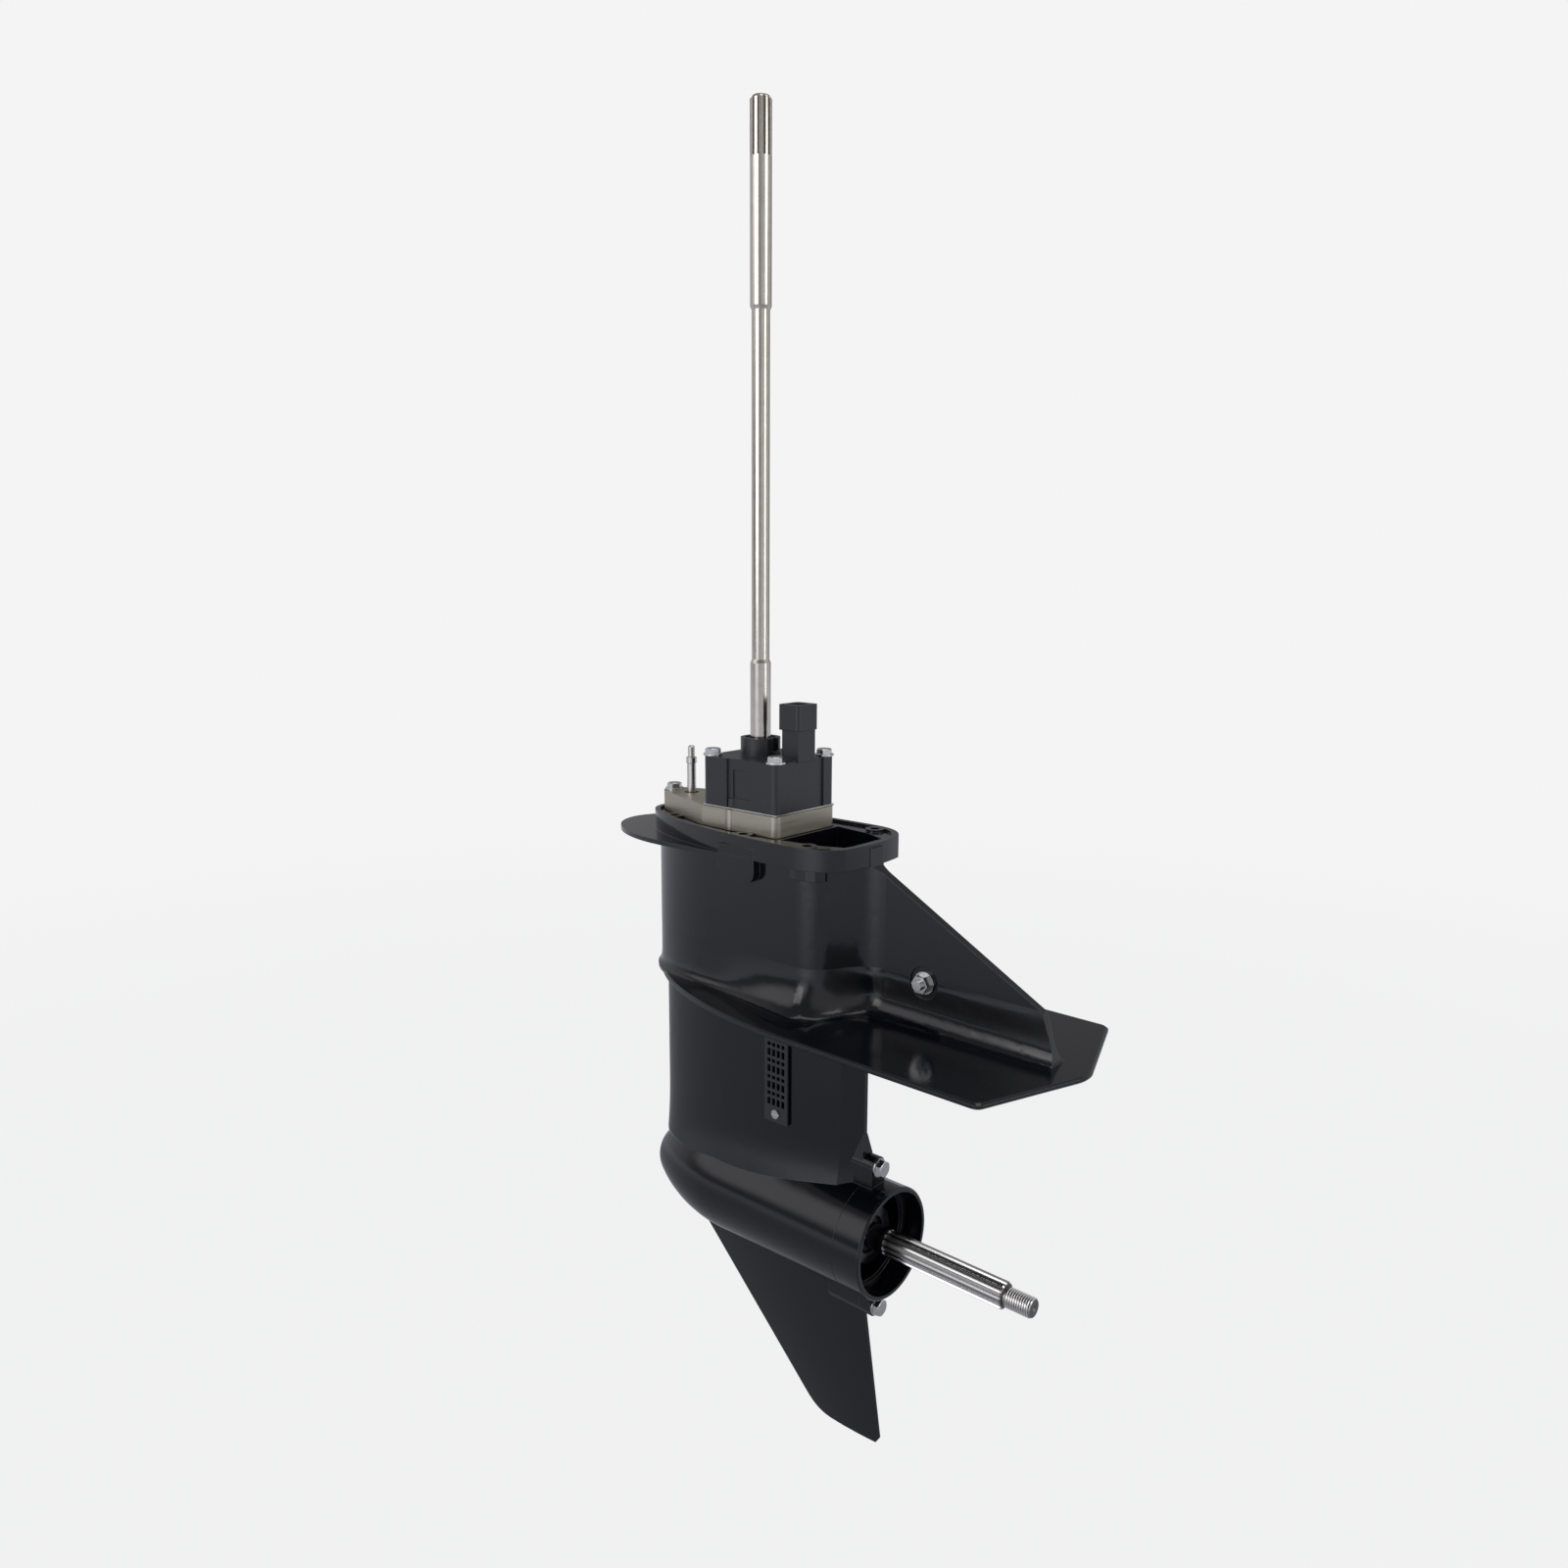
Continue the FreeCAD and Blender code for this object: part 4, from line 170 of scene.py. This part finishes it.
# %% [markdown]
# ## The studio floor
#
# The photograph has a plain, almost white ground. A floor lies well below the skeg, because a lower
# unit is held by its flange and never stands on its fin. The camera sees the paper's own colour
# with a trace of the lamps near the object, where its shadow falls, and none far away, so that the
# floor meets the backdrop without a line. Mirror-like surfaces see the paper with a painted shadow
# near the object, darker as if under the dark casting, and a painted pool of light on the port
# side, below the key lamp.

# %% Floor
PALE = "#f4f4f4"
FLOOR_GAP = 0.30
FLOOR_HALF = 12.0
NEAR, FAR = 0.8, 4.5
OWN_NEAR, OWN_FAR = 0.88, 1.0
MIRRORED_PAPER = "#e9ecf7"
MIRRORED_PAINTED_SHADOW, MIRRORED_FAR = 0.42, 0.8
PAINTED_POOL_FOOT = (0.4, -4.2, 0.0)
PAINTED_POOL_EDGE, PAINTED_POOL_CORE, PAINTED_POOL_STRENGTH = 3.2, 0.6, 0.75

ground = cad_box[0][2] - FLOOR_GAP
floor_mesh = bpy.data.meshes.new("floor")
bm = bmesh.new()
bmesh.ops.create_grid(bm, x_segments=1, y_segments=1, size=FLOOR_HALF)
bmesh.ops.translate(bm, verts=bm.verts, vec=(0, 0, ground))
bm.to_mesh(floor_mesh)
bm.free()
floor = bpy.data.objects.new("floor", floor_mesh)
scene.collection.objects.link(floor)

paper, tree = new_material("matt_background_paper")
path = add(tree, "ShaderNodeLightPath")
where = add(tree, "ShaderNodeTexCoord").outputs["Object"]
level = vector(tree, "MULTIPLY", where, (1, 1, 0))
far = ramp(tree, vector(tree, "LENGTH", level, gives="Value"), NEAR, FAR, smooth=True)
matt = add(tree, "ShaderNodeBsdfDiffuse", {"Color": linear(PALE)}).outputs[0]
own = add(tree, "ShaderNodeEmission", {"Color": linear(PALE), "Strength": 1.0}).outputs[0]
for_camera = mix_shaders(tree, ramp(tree, far, low=OWN_NEAR, high=OWN_FAR), matt, own)
# Painted shadow and painted pool of light: in reflections the paper is darker near the object and
# brighter below the key lamp.
shade = ramp(tree, far, low=MIRRORED_PAINTED_SHADOW, high=MIRRORED_FAR)
apart = vector(tree, "DISTANCE", level, PAINTED_POOL_FOOT, gives="Value")
pool = ramp(tree, apart, PAINTED_POOL_EDGE, PAINTED_POOL_CORE, high=PAINTED_POOL_STRENGTH, smooth=True)
shade = add(tree, "ShaderNodeMath", {0: shade, 1: pool}, operation="ADD").outputs[0]
for_gloss = add(tree, "ShaderNodeEmission", {
    "Color": linear(MIRRORED_PAPER), "Strength": shade}).outputs[0]
seen = mix_shaders(tree, path.outputs["Is Camera Ray"], matt, for_camera)
seen = mix_shaders(tree, path.outputs["Is Glossy Ray"], seen, for_gloss)
add(tree, "ShaderNodeOutputMaterial", {"Surface": seen})
floor_mesh.materials.append(paper)
print("floor at", round(ground, 3))

# %% [markdown]
# ## The room in the reflections
#
# Black gloss paint and polished steel show little of their own: they show the room. The backdrop is
# the same pale grey for the camera, and an even room lights the rough surfaces. For reflections the
# world holds a dim room with a few large soft panels, each a smooth spot of light in one direction.
# The ground shafts in the photograph say where those panels are, because a shiny cylinder mirrors
# the whole horizon across its width. Each panel has a direction, the angles in degrees of its full
# core and of its faded edge, and a strength.

# %% World
MIRRORED_ROOM, EVEN_ROOM = "#f3f3f6", "#e6e8ee"
EVEN_LIGHT, MIRRORED_LIGHT = 0.7, 0.28
PANELS = (
    ((0.0, -1.0, 0.12), 4, 27, 1.15),
    ((-0.62, -0.70, 0.48), 8, 24, 1.1),
    ((0.9, -0.42, 0.1), 4, 34, 0.42),
    ((0.75, 0.66, 0.25), 10, 60, 0.35),
    ((-0.98, 0.05, 0.2), 10, 45, 0.4),
)


def panel(tree, way, aim, core, edge, strength):
    """Light from a soft panel in one direction: full inside one angle, none outside another."""
    near = vector(tree, "DOT_PRODUCT", way, Vector(aim).normalized(), gives="Value")
    return ramp(tree, near, math.cos(math.radians(edge)), math.cos(math.radians(core)),
                high=strength, smooth=True)


world = bpy.data.worlds.new("studio")
scene.world = world
world.use_nodes = True
tree = world.node_tree
tree.nodes.clear()
path = add(tree, "ShaderNodeLightPath")
way = add(tree, "ShaderNodeTexCoord").outputs["Generated"]
light = MIRRORED_LIGHT
for row in PANELS:
    spot = panel(tree, way, *row)
    light = add(tree, "ShaderNodeMath", {0: spot, 1: light}, operation="ADD").outputs[0]
mirrored, room, backdrop = [
    add(tree, "ShaderNodeBackground", {"Color": linear(tone), "Strength": strength}).outputs[0]
    for tone, strength in ((MIRRORED_ROOM, light), (EVEN_ROOM, EVEN_LIGHT), (PALE, 1.0))]
sky = mix_shaders(tree, path.outputs["Is Glossy Ray"], room, mirrored)
sky = mix_shaders(tree, path.outputs["Is Camera Ray"], sky, backdrop)
add(tree, "ShaderNodeOutputWorld", {"Surface": sky})
print(len(PANELS), "panels in the reflections")

# %% [markdown]
# ## The lamps
#
# Three large soft boxes face the unit: the key lamp from port, one from astern and one from above.
# The camera doesn't see them, so a view from any side keeps its plain ground.

# %% Lamps
LAMP_AIM = Vector((0.02, 0, -0.05))


def soft_box(name, place, width, height, watts):
    """A large soft lamp that faces the middle of the unit."""
    lamp = bpy.data.lights.new(name, "AREA")
    lamp.shape = "RECTANGLE"
    lamp.size = width
    lamp.size_y = height
    lamp.energy = watts
    obj = bpy.data.objects.new(name, lamp)
    scene.collection.objects.link(obj)
    turned = (LAMP_AIM - Vector(place)).to_track_quat("-Z", "Y").to_matrix().to_4x4()
    obj.matrix_world = Matrix.Translation(place) @ turned
    obj.visible_camera = False


soft_box("key_lamp", (-0.3, -2.4, 0.9), 1.4, 1.6, 14)
soft_box("side_lamp", (2.2, 0.4, 0.6), 0.8, 1.6, 8)
soft_box("top_lamp", (0.2, 0.3, 2.4), 1.6, 1.6, 12)
print("three soft boxes")

# %% [markdown]
# ## The surface of a finish
#
# The patterns in a finish have a real size, so a noise is asked for by the size of its features in
# millimetres. Cast, moulded and turned edges are never quite sharp, so a bevel node rounds their
# highlights, and a fine relief may be laid on top of that.

# %% Surface helpers
MM = 0.001
BEVEL_SAMPLES = 4


def noise(tree, where, size_mm, detail=2.0):
    """A cloudy pattern from 0 to 1 whose features are a real size apart."""
    return add(tree, "ShaderNodeTexNoise", {
        "Vector": where, "Scale": 1 / (size_mm * MM), "Detail": detail}).outputs["Fac"]


def rounded(tree, radius_mm):
    """The normal of a surface whose edges are rounded."""
    return add(tree, "ShaderNodeBevel", {"Radius": radius_mm * MM},
               samples=BEVEL_SAMPLES).outputs[0]


def relief(tree, height, depth_mm, strength, normal):
    """A normal with a shallow relief on top of another normal."""
    return add(tree, "ShaderNodeBump", {
        "Height": height, "Distance": depth_mm * MM, "Strength": strength,
        "Normal": normal}).outputs[0]


def surface(tree, inputs):
    """The shader of a finish, joined to the material's output."""
    shader = add(tree, "ShaderNodeBsdfPrincipled", inputs).outputs[0]
    add(tree, "ShaderNodeOutputMaterial", {"Surface": shader})


print("noise, rounded edges, relief and surface")

# %% [markdown]
# ## Gloss enamel on cast aluminium
#
# The gearcase is die cast, primed and sprayed with a black enamel. The paint is nearly black by
# itself: what the eye sees is the room mirrored in its gloss, bright where the surface turns away
# and dark where it mirrors another black part. A faint orange peel from the spray gun breaks up
# the mirror. Where the rounded normal leaves the face's own, at an edge, a paler colour is painted
# in as a highlight, and the cosine of the angle between the two says where this starts and ends.

# %% Gearcase enamel
PAINT, EDGE_HIGHLIGHT_PAINT = "#0a0b10", "#34363c"
GLOSS_LOW, GLOSS_HIGH = 0.11, 0.16
PEEL_MM, CLOUD_MM = 4, 45
HIGHLIGHT_FROM, HIGHLIGHT_TO = 0.995, 0.88
EDGE_MM, PEEL_DEPTH_MM, PEEL_STRENGTH = 0.8, 0.02, 0.35


def gloss_enamel(name):
    """Sprayed enamel that is mirror black on the flats, with a painted highlight that pales its
    edges.
    """
    material, tree = new_material(name)
    where = add(tree, "ShaderNodeTexCoord").outputs["Object"]
    edge = rounded(tree, EDGE_MM)
    face = add(tree, "ShaderNodeNewGeometry").outputs["Normal"]
    alike = vector(tree, "DOT_PRODUCT", edge, face, gives="Value")
    # Painted highlight: a paler colour where the rounded normal turns from the face's own, at an
    # edge.
    edge_highlight = ramp(tree, alike, HIGHLIGHT_FROM, HIGHLIGHT_TO)
    surface(tree, {
        "Base Color": mix_colours(tree, edge_highlight, linear(PAINT), linear(EDGE_HIGHLIGHT_PAINT)),
        "IOR": 1.5,
        "Roughness": ramp(tree, noise(tree, where, CLOUD_MM, 3.0), low=GLOSS_LOW, high=GLOSS_HIGH),
        "Normal": relief(tree, noise(tree, where, PEEL_MM), PEEL_DEPTH_MM, PEEL_STRENGTH, edge)})
    return material


enamel = gloss_enamel("gloss_enamel_on_cast_aluminium")
print(enamel.name, "with", len(enamel.node_tree.nodes), "nodes")

# %% [markdown]
# ## Moulded plastic and rubber
#
# The pump housing and the inlet grilles are injection moulded in a glass-filled nylon. The mould's
# fine spark texture makes them satin, a shade lighter and much duller than the enamel. Rubber and
# gasket sheet come from moulds and presses too, and only differ in colour and dullness.

# %% Moulded finishes
GRAIN_MM, GRAIN_DEPTH_MM, GRAIN_STRENGTH = 0.7, 0.03, 0.5
FLOW_MM, FLOW_LESS, FLOW_MORE = 18, 0.05, 0.06
MOULD_EDGE_MM = 0.7


def moulded(name, colour, dull):
    """A dull skin with a fine grain, unevenly matt where the melt flowed into its mould."""
    material, tree = new_material(name)
    where = add(tree, "ShaderNodeTexCoord").outputs["Object"]
    flow = noise(tree, where, FLOW_MM)
    grain = noise(tree, where, GRAIN_MM, 3.0)
    edge = rounded(tree, MOULD_EDGE_MM)
    surface(tree, {
        "Base Color": linear(colour),
        "IOR": 1.53,
        "Roughness": ramp(tree, flow, low=dull - FLOW_LESS, high=dull + FLOW_MORE),
        "Normal": relief(tree, grain, GRAIN_DEPTH_MM, GRAIN_STRENGTH, edge)})
    return material


nylon = moulded("glass_filled_nylon_moulded", "#1d1f23", 0.36)
rubber = moulded("nitrile_rubber_moulded", "#141414", 0.6)
gasket = moulded("fibre_gasket_sheet", "#4d463c", 0.8)
print(nylon.name, rubber.name, gasket.name)

# %% [markdown]
# ## Bare metals
#
# A metal's colour is its reflection, so each has a pale base colour and its own roughness, and the
# bands left by the tool are a noise drawn out across the part's axis. The small stainless parts
# are ground and the bolts are plated with bright zinc: soft bands of tone run round them, with
# almost no relief. The pump's base is cast in aluminium and sealed with a warm grey coat. Gears and
# bearings, which the casing hides, are hardened steel that was ground and oiled.

# %% Metals
BAND_STRETCH = 25
BAND_STRENGTH = 0.4
SHINY_SHARE, DULL_SHARE = 0.75, 1.3


def worked_metal(name, colour, tint, dull, band_mm, along, depth_mm, round_mm=0.3):
    """A metal with tool marks: bands of one width that run square to the axis "along"."""
    material, tree = new_material(name)
    where = add(tree, "ShaderNodeTexCoord").outputs["Object"]
    sizes = [band_mm if axis == along else band_mm * BAND_STRETCH for axis in "XYZ"]
    laid = add(tree, "ShaderNodeMapping", {
        "Vector": where, "Scale": [1 / (size * MM) for size in sizes]}).outputs[0]
    bands = add(tree, "ShaderNodeTexNoise", {
        "Vector": laid, "Scale": 1.0, "Detail": 2.0}).outputs["Fac"]
    surface(tree, {
        "Base Color": mix_colours(tree, bands, linear(colour), linear(tint)),
        "Metallic": 1.0,
        "Roughness": ramp(tree, bands, low=dull * SHINY_SHARE, high=dull * DULL_SHARE),
        "Normal": relief(tree, bands, depth_mm, BAND_STRENGTH, rounded(tree, round_mm))})
    return material


steel = worked_metal("ground_stainless_steel", "#c4c0ba", "#d3cfca",
                     dull=0.2, band_mm=3.0, along="Z", depth_mm=0.0)
zinc = worked_metal("bright_zinc_plated_steel", "#c2c3c4", "#d6d6d5",
                    dull=0.22, band_mm=3.0, along="X", depth_mm=0.001)
sealed = worked_metal("cast_aluminium_with_grey_sealer", "#a19b8e", "#bcb6a9",
                      dull=0.44, band_mm=1.2, along="Z", depth_mm=0.03, round_mm=0.8)
gear_steel = worked_metal("oiled_case_hardened_steel", "#6e6d6b", "#8b8a88",
                          dull=0.3, band_mm=0.5, along="X", depth_mm=0.01)
bearing_steel = worked_metal("ground_bearing_steel", "#b4b6ba", "#d8dadc",
                             dull=0.16, band_mm=0.3, along="X", depth_mm=0.004)
print(steel.name, zinc.name, sealed.name, gear_steel.name, bearing_steel.name)

# %% [markdown]
# ## Steel with cut teeth
# A hob or a die leaves the flanks and roots of teeth and threads rough, while the tops are ground
# bright. The roots are painted darker: painted shade between the teeth, together with the oil that
# they hold. The distance from the shaft's own axis tells tops from roots, so the finish reads that
# distance. Each shaft changes once along its length, the propeller shaft from teeth to a thread and
# the driveshaft from a plain bar to its spline, so the finish takes two pairs of radii and the
# place where one gives way to the other.

# %% Toothed steel
SHAFT_LINE = -337 * MM
PLAIN_BAR = (-1, 0)
SWITCH_MM = 0.4
ROOT_DULL = 0.45
TONE_MM = 9
TOOTH_EDGE_MM = 0.2


def toothed_steel(name, axis, foot, before_mm, place_mm, after_mm, tones, dull):
    """Ground steel with painted shade between its teeth, along an axis through the point "foot".

    The radii are those of a root and a top, before and after a place along the axis.
    """
    oil_and_shade, low_tone, high_tone = tones
    material, tree = new_material(name)
    where = add(tree, "ShaderNodeTexCoord").outputs["Object"]
    square = [0 if letter == axis else 1 for letter in "XYZ"]
    across = vector(tree, "MULTIPLY", vector(tree, "SUBTRACT", where, foot), square)
    radius = vector(tree, "LENGTH", across, gives="Value")
    before, after = [ramp(tree, radius, root * MM, top * MM) for root, top in (before_mm, after_mm)]
    along = add(tree, "ShaderNodeSeparateXYZ", {0: where}).outputs[axis]
    past = ramp(tree, along, place_mm * MM, (place_mm + SWITCH_MM) * MM)
    # Painted shade, with the oil in the roots: the colour goes dark towards the roots between the
    # teeth.
    toward_top = add(tree, "ShaderNodeMix", {"Factor": past, "A": before, "B": after}).outputs["Result"]
    tone = noise(tree, where, TONE_MM)
    bright = mix_colours(tree, tone, linear(low_tone), linear(high_tone))
    surface(tree, {
        "Base Color": mix_colours(tree, toward_top, linear(oil_and_shade), bright),
        "Metallic": 1.0,
        "Roughness": ramp(tree, toward_top, low=ROOT_DULL, high=dull),
        "Normal": rounded(tree, TOOTH_EDGE_MM)})
    return material


hobbed = toothed_steel(
    "hobbed_and_ground_stainless_steel", "X", (0, 0, SHAFT_LINE),
    before_mm=(9.2, 9.9), place_mm=257.2, after_mm=(6.8, 7.6),
    tones=("#7e7c7b", "#e0dedd", "#f4f2f1"), dull=0.17)
top_splined = toothed_steel(
    "ground_shaft_steel_with_spline", "Z", (0, 0, 0),
    before_mm=PLAIN_BAR, place_mm=531.0, after_mm=(7.4, 8.3),
    tones=("#86817a", "#b9b3ab", "#d0cbc3"), dull=0.2)
print(hobbed.name, "and", top_splined.name)

# %% [markdown]
# ## A finish for every node
#
# The record gives each node a slot, which says what it is made of, and each slot has one finish.
# Only the driveshaft then takes a finish of its own, for the spline at its top.

# %% Choose a finish for every node
FINISHES = {
    "black_gloss_paint": enamel,
    "black_moulded_plastic": nylon,
    "cast_base_metal": sealed,
    "stainless_steel": steel,
    "zinc_plated_steel": zinc,
    "gear_steel": gear_steel,
    "bearing_steel": bearing_steel,
    "black_rubber": rubber,
    "fibre_gasket": gasket,
}
for part in frame["record"]["subparts"]:
    shown = nodes[part["node"]]
    shown.data.materials.clear()
    shown.data.materials.append(FINISHES[part["material_slot"]])
nodes["driveshaft"].data.materials[0] = top_splined

# %% [markdown]
# ## Screw threads
#
# A thread is one V cut that winds round the bar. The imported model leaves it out, because a plain
# cylinder is what a nut is fitted to. Here a row of V crests is spun once round the axis and moved
# along it by one pitch as it turns, so the end of each crest meets the start of the next. Spare
# turns at both ends are cut off square, and the last turns are pulled in to a chamfer.

# %% Threads
CREST_FROM, CREST_TO = 0.44, 0.56
SPARE_TURNS = 2
THREAD_WELD = 0.001
ON_PLANE = 1e-7
CREASE = math.radians(35)


def radius_of(vert):
    """Distance of a vertex from the X axis."""
    return math.hypot(vert.co.y, vert.co.z)


def pull_in(vert, radius):
    """Move a vertex straight to a distance from the X axis."""
    now = radius_of(vert)
    vert.co.y *= radius / now
    vert.co.z *= radius / now


def cut_off(made, place, side):
    """Remove all that lies past a place on the X axis, on its positive or negative side."""
    bmesh.ops.bisect_plane(made, geom=made.verts[:] + made.edges[:] + made.faces[:], dist=ON_PLANE,
                           plane_co=(place, 0, 0), plane_no=(side, 0, 0), clear_outer=True)


def close_rims(made):
    """Fill each open rim with one face."""
    bmesh.ops.holes_fill(made, edges=[edge for edge in made.edges if edge.is_boundary], sides=0)


def screw_thread(crest, root, pitch, length, chamfer, steps=40):
    """A threaded bar along the X axis, from 0 to its length, closed at both ends."""
    made = bmesh.new()
    line = []
    for turn in range(-SPARE_TURNS, math.ceil(length / pitch) + 1):
        line += [made.verts.new((turn * pitch + pitch * share, 0, radius))
                 for share, radius in ((0, root), (CREST_FROM, crest), (CREST_TO, crest))]
    for one, other in zip(line, line[1:]):
        made.edges.new((one, other))
    bmesh.ops.spin(made, geom=made.verts[:] + made.edges[:], cent=(0, 0, 0), axis=(1, 0, 0),
                   dvec=(pitch / steps, 0, 0), angle=math.tau, steps=steps, use_merge=False)
    bmesh.ops.remove_doubles(made, verts=made.verts, dist=root * THREAD_WELD)
    cut_off(made, 0, -1)
    cut_off(made, length, 1)
    for vert in made.verts:
        room = crest - max(0, vert.co.x - (length - chamfer))
        if radius_of(vert) > room:
            pull_in(vert, room)
    close_rims(made)
    bmesh.ops.recalc_face_normals(made, faces=made.faces)
    return made


def finished(name, made, material, body):
    """A piece from its mesh: smooth where round, sharp at its edges, and riding on its body."""
    for face in made.faces:
        face.smooth = True
    for edge in made.edges:
        edge.smooth = edge.is_manifold and edge.calc_face_angle(0) < CREASE
    mesh = bpy.data.meshes.new(name)
    made.to_mesh(mesh)
    made.free()
    mesh.materials.append(material)
    piece = bpy.data.objects.new(name, mesh)
    scene.collection.objects.link(piece)
    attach(piece, body)
    print(name, len(mesh.polygons), "faces")
    return piece


def join(made, more, place):
    """Add a second mesh to the first, moved to its place."""
    bmesh.ops.transform(more, matrix=place, verts=more.verts)
    passing = bpy.data.meshes.new("passing")
    more.to_mesh(passing)
    more.free()
    made.from_mesh(passing)
    bpy.data.meshes.remove(passing)


# %% [markdown]
# ## The propeller shaft
#
# The propeller's hub slides on thirteen straight teeth, and a nut on the threaded end holds it. The
# inner length, with its bore and slot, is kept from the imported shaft. The toothed length is a
# circle whose points are drawn in between the teeth and then extruded, with a chamfer at its end.
# The widths of a root and a flank are shares of one tooth's pitch. A plain neck runs on to the real
# thread, and the tip has the small cone that centred the bar in the lathe.

# %% Propeller shaft
SHAFT_WELD = 1e-6
TEETH, TOOTH_STEPS = 13, 24
TOOTH_TOP, TOOTH_ROOT = 10.75 * MM, 9.25 * MM
ROOT_HALF, FLANK = 0.24, 0.08
TEETH_FROM, TEETH_TO = 145.5 * MM, 256.8 * MM
RIM_CHAMFER, RIM_SHARE = 1.2 * MM, 0.89
NECK_RADIUS, NECK_LENGTH, NECK_MIDDLE = 7 * MM, 4 * MM, TEETH_TO + 1.5 * MM
NECK_SIDES = 48
THREAD_FROM, SHAFT_END = TEETH_TO + 2.2 * MM, 281 * MM
NUT_CREST, NUT_ROOT, NUT_PITCH, NUT_CHAMFER = 8 * MM, 6.8 * MM, 2.0 * MM, 1.2 * MM
CENTRE_RIM, CENTRE_DEPTH = 4.1 * MM, 3 * MM
TO_X = Matrix.Rotation(math.pi / 2, 4, "Y")

shaft = bmesh.new()
shaft.from_mesh(nodes["prop_shaft"].data)
bmesh.ops.remove_doubles(shaft, verts=shaft.verts, dist=SHAFT_WELD)
cut_off(shaft, TEETH_FROM, 1)
close_rims(shaft)

teeth = bmesh.new()
bmesh.ops.create_circle(teeth, segments=TEETH * TOOTH_STEPS, radius=TOOTH_TOP)
bmesh.ops.rotate(teeth, verts=teeth.verts, matrix=TO_X.to_3x3())
for vert in teeth.verts:
    phase = math.atan2(vert.co.z, vert.co.y) / math.tau * TEETH % 1
    slope = min(1, max(0, (abs(phase - 0.5) - ROOT_HALF) / FLANK))
    pull_in(vert, TOOTH_ROOT + (TOOTH_TOP - TOOTH_ROOT) * slope)
rim = teeth.edges[:]
for advance, size in ((TEETH_TO - TEETH_FROM - RIM_CHAMFER, 1.0), (RIM_CHAMFER, RIM_SHARE)):
    grown = bmesh.ops.extrude_edge_only(teeth, edges=rim)["geom"]
    front = [item for item in grown if isinstance(item, bmesh.types.BMVert)]
    rim = [item for item in grown if isinstance(item, bmesh.types.BMEdge)]
    bmesh.ops.translate(teeth, verts=front, vec=(advance, 0, 0))
    bmesh.ops.scale(teeth, verts=front, vec=(1, size, size))
close_rims(teeth)
bmesh.ops.recalc_face_normals(teeth, faces=teeth.faces)
join(shaft, teeth, Matrix.Translation((TEETH_FROM, 0, SHAFT_LINE)))

neck = bmesh.new()
bmesh.ops.create_cone(neck, cap_ends=True, segments=NECK_SIDES, depth=NECK_LENGTH,
                      radius1=NECK_RADIUS, radius2=NECK_RADIUS)
join(shaft, neck, Matrix.Translation((NECK_MIDDLE, 0, SHAFT_LINE)) @ TO_X)

nut_thread = screw_thread(NUT_CREST, NUT_ROOT, NUT_PITCH, SHAFT_END - THREAD_FROM, NUT_CHAMFER)
tip = max(nut_thread.faces, key=lambda face: face.calc_center_median().x)
bmesh.ops.inset_region(nut_thread, faces=[tip], thickness=CENTRE_RIM, use_even_offset=False)
centre = bmesh.ops.poke(nut_thread, faces=[tip])["verts"]
bmesh.ops.translate(nut_thread, verts=centre, vec=(-CENTRE_DEPTH, 0, 0))
join(shaft, nut_thread, Matrix.Translation((THREAD_FROM, 0, SHAFT_LINE)))
propeller_shaft = finished("propeller_shaft_splined", shaft, hobbed, "prop_shaft_body")
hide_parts("prop_shaft")

# %% [markdown]
# ## Small threads
#
# The shift rod ends in a fine thread for its clevis, and the bolt through the web shows the last of
# its thread outside the nut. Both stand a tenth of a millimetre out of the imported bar, which
# carries them.

# %% Shift rod and web bolt threads
FINE_PITCH, FINE_CHAMFER, FINE_STEPS = 1.0 * MM, 0.3 * MM, 32
ROD_PLACE = -84.5 * MM
ROD_CREST, ROD_ROOT, ROD_THREAD, ROD_LOW = 3.12 * MM, 2.9 * MM, 8.6 * MM, 9.5 * MM
BOLT_CREST, BOLT_ROOT, BOLT_PLAIN_TIP = 4.12 * MM, 3.8 * MM, 0.6 * MM


def fine_thread(crest, root, length, place):
    """A short fine thread, moved to its place."""
    made = screw_thread(crest, root, FINE_PITCH, length, FINE_CHAMFER, FINE_STEPS)
    bmesh.ops.transform(made, matrix=place, verts=made.verts)
    return made


rod_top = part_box("shift_rod")[1][2]
rod_up = (Matrix.Translation((ROD_PLACE, 0, rod_top - ROD_LOW))
          @ Matrix.Rotation(-math.pi / 2, 4, "Y"))
rod_thread = fine_thread(ROD_CREST, ROD_ROOT, ROD_THREAD, rod_up)
finished("shift_rod_thread", rod_thread, steel, "shift_rod_body")

nut_low, nut_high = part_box("web_nut")
bolt_low, bolt_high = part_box("web_bolt")
side = 1 if nut_low[1] > 0 else -1
free_end = (bolt_high if side > 0 else bolt_low)[1]
nut_face = (nut_high if side > 0 else nut_low)[1]
shown = abs(free_end - nut_face) - BOLT_PLAIN_TIP
print("web bolt shows", round(shown / MM, 1), "mm on side", side)
bolt_out = (Matrix.Translation(((bolt_low[0] + bolt_high[0]) * 0.5, nut_face,
                                (bolt_low[2] + bolt_high[2]) * 0.5))
            @ Matrix.Rotation(side * math.pi / 2, 4, "Z"))
web_thread = fine_thread(BOLT_CREST, BOLT_ROOT, shown, bolt_out)
finished("web_bolt_thread", web_thread, zinc, "gearcase_body")
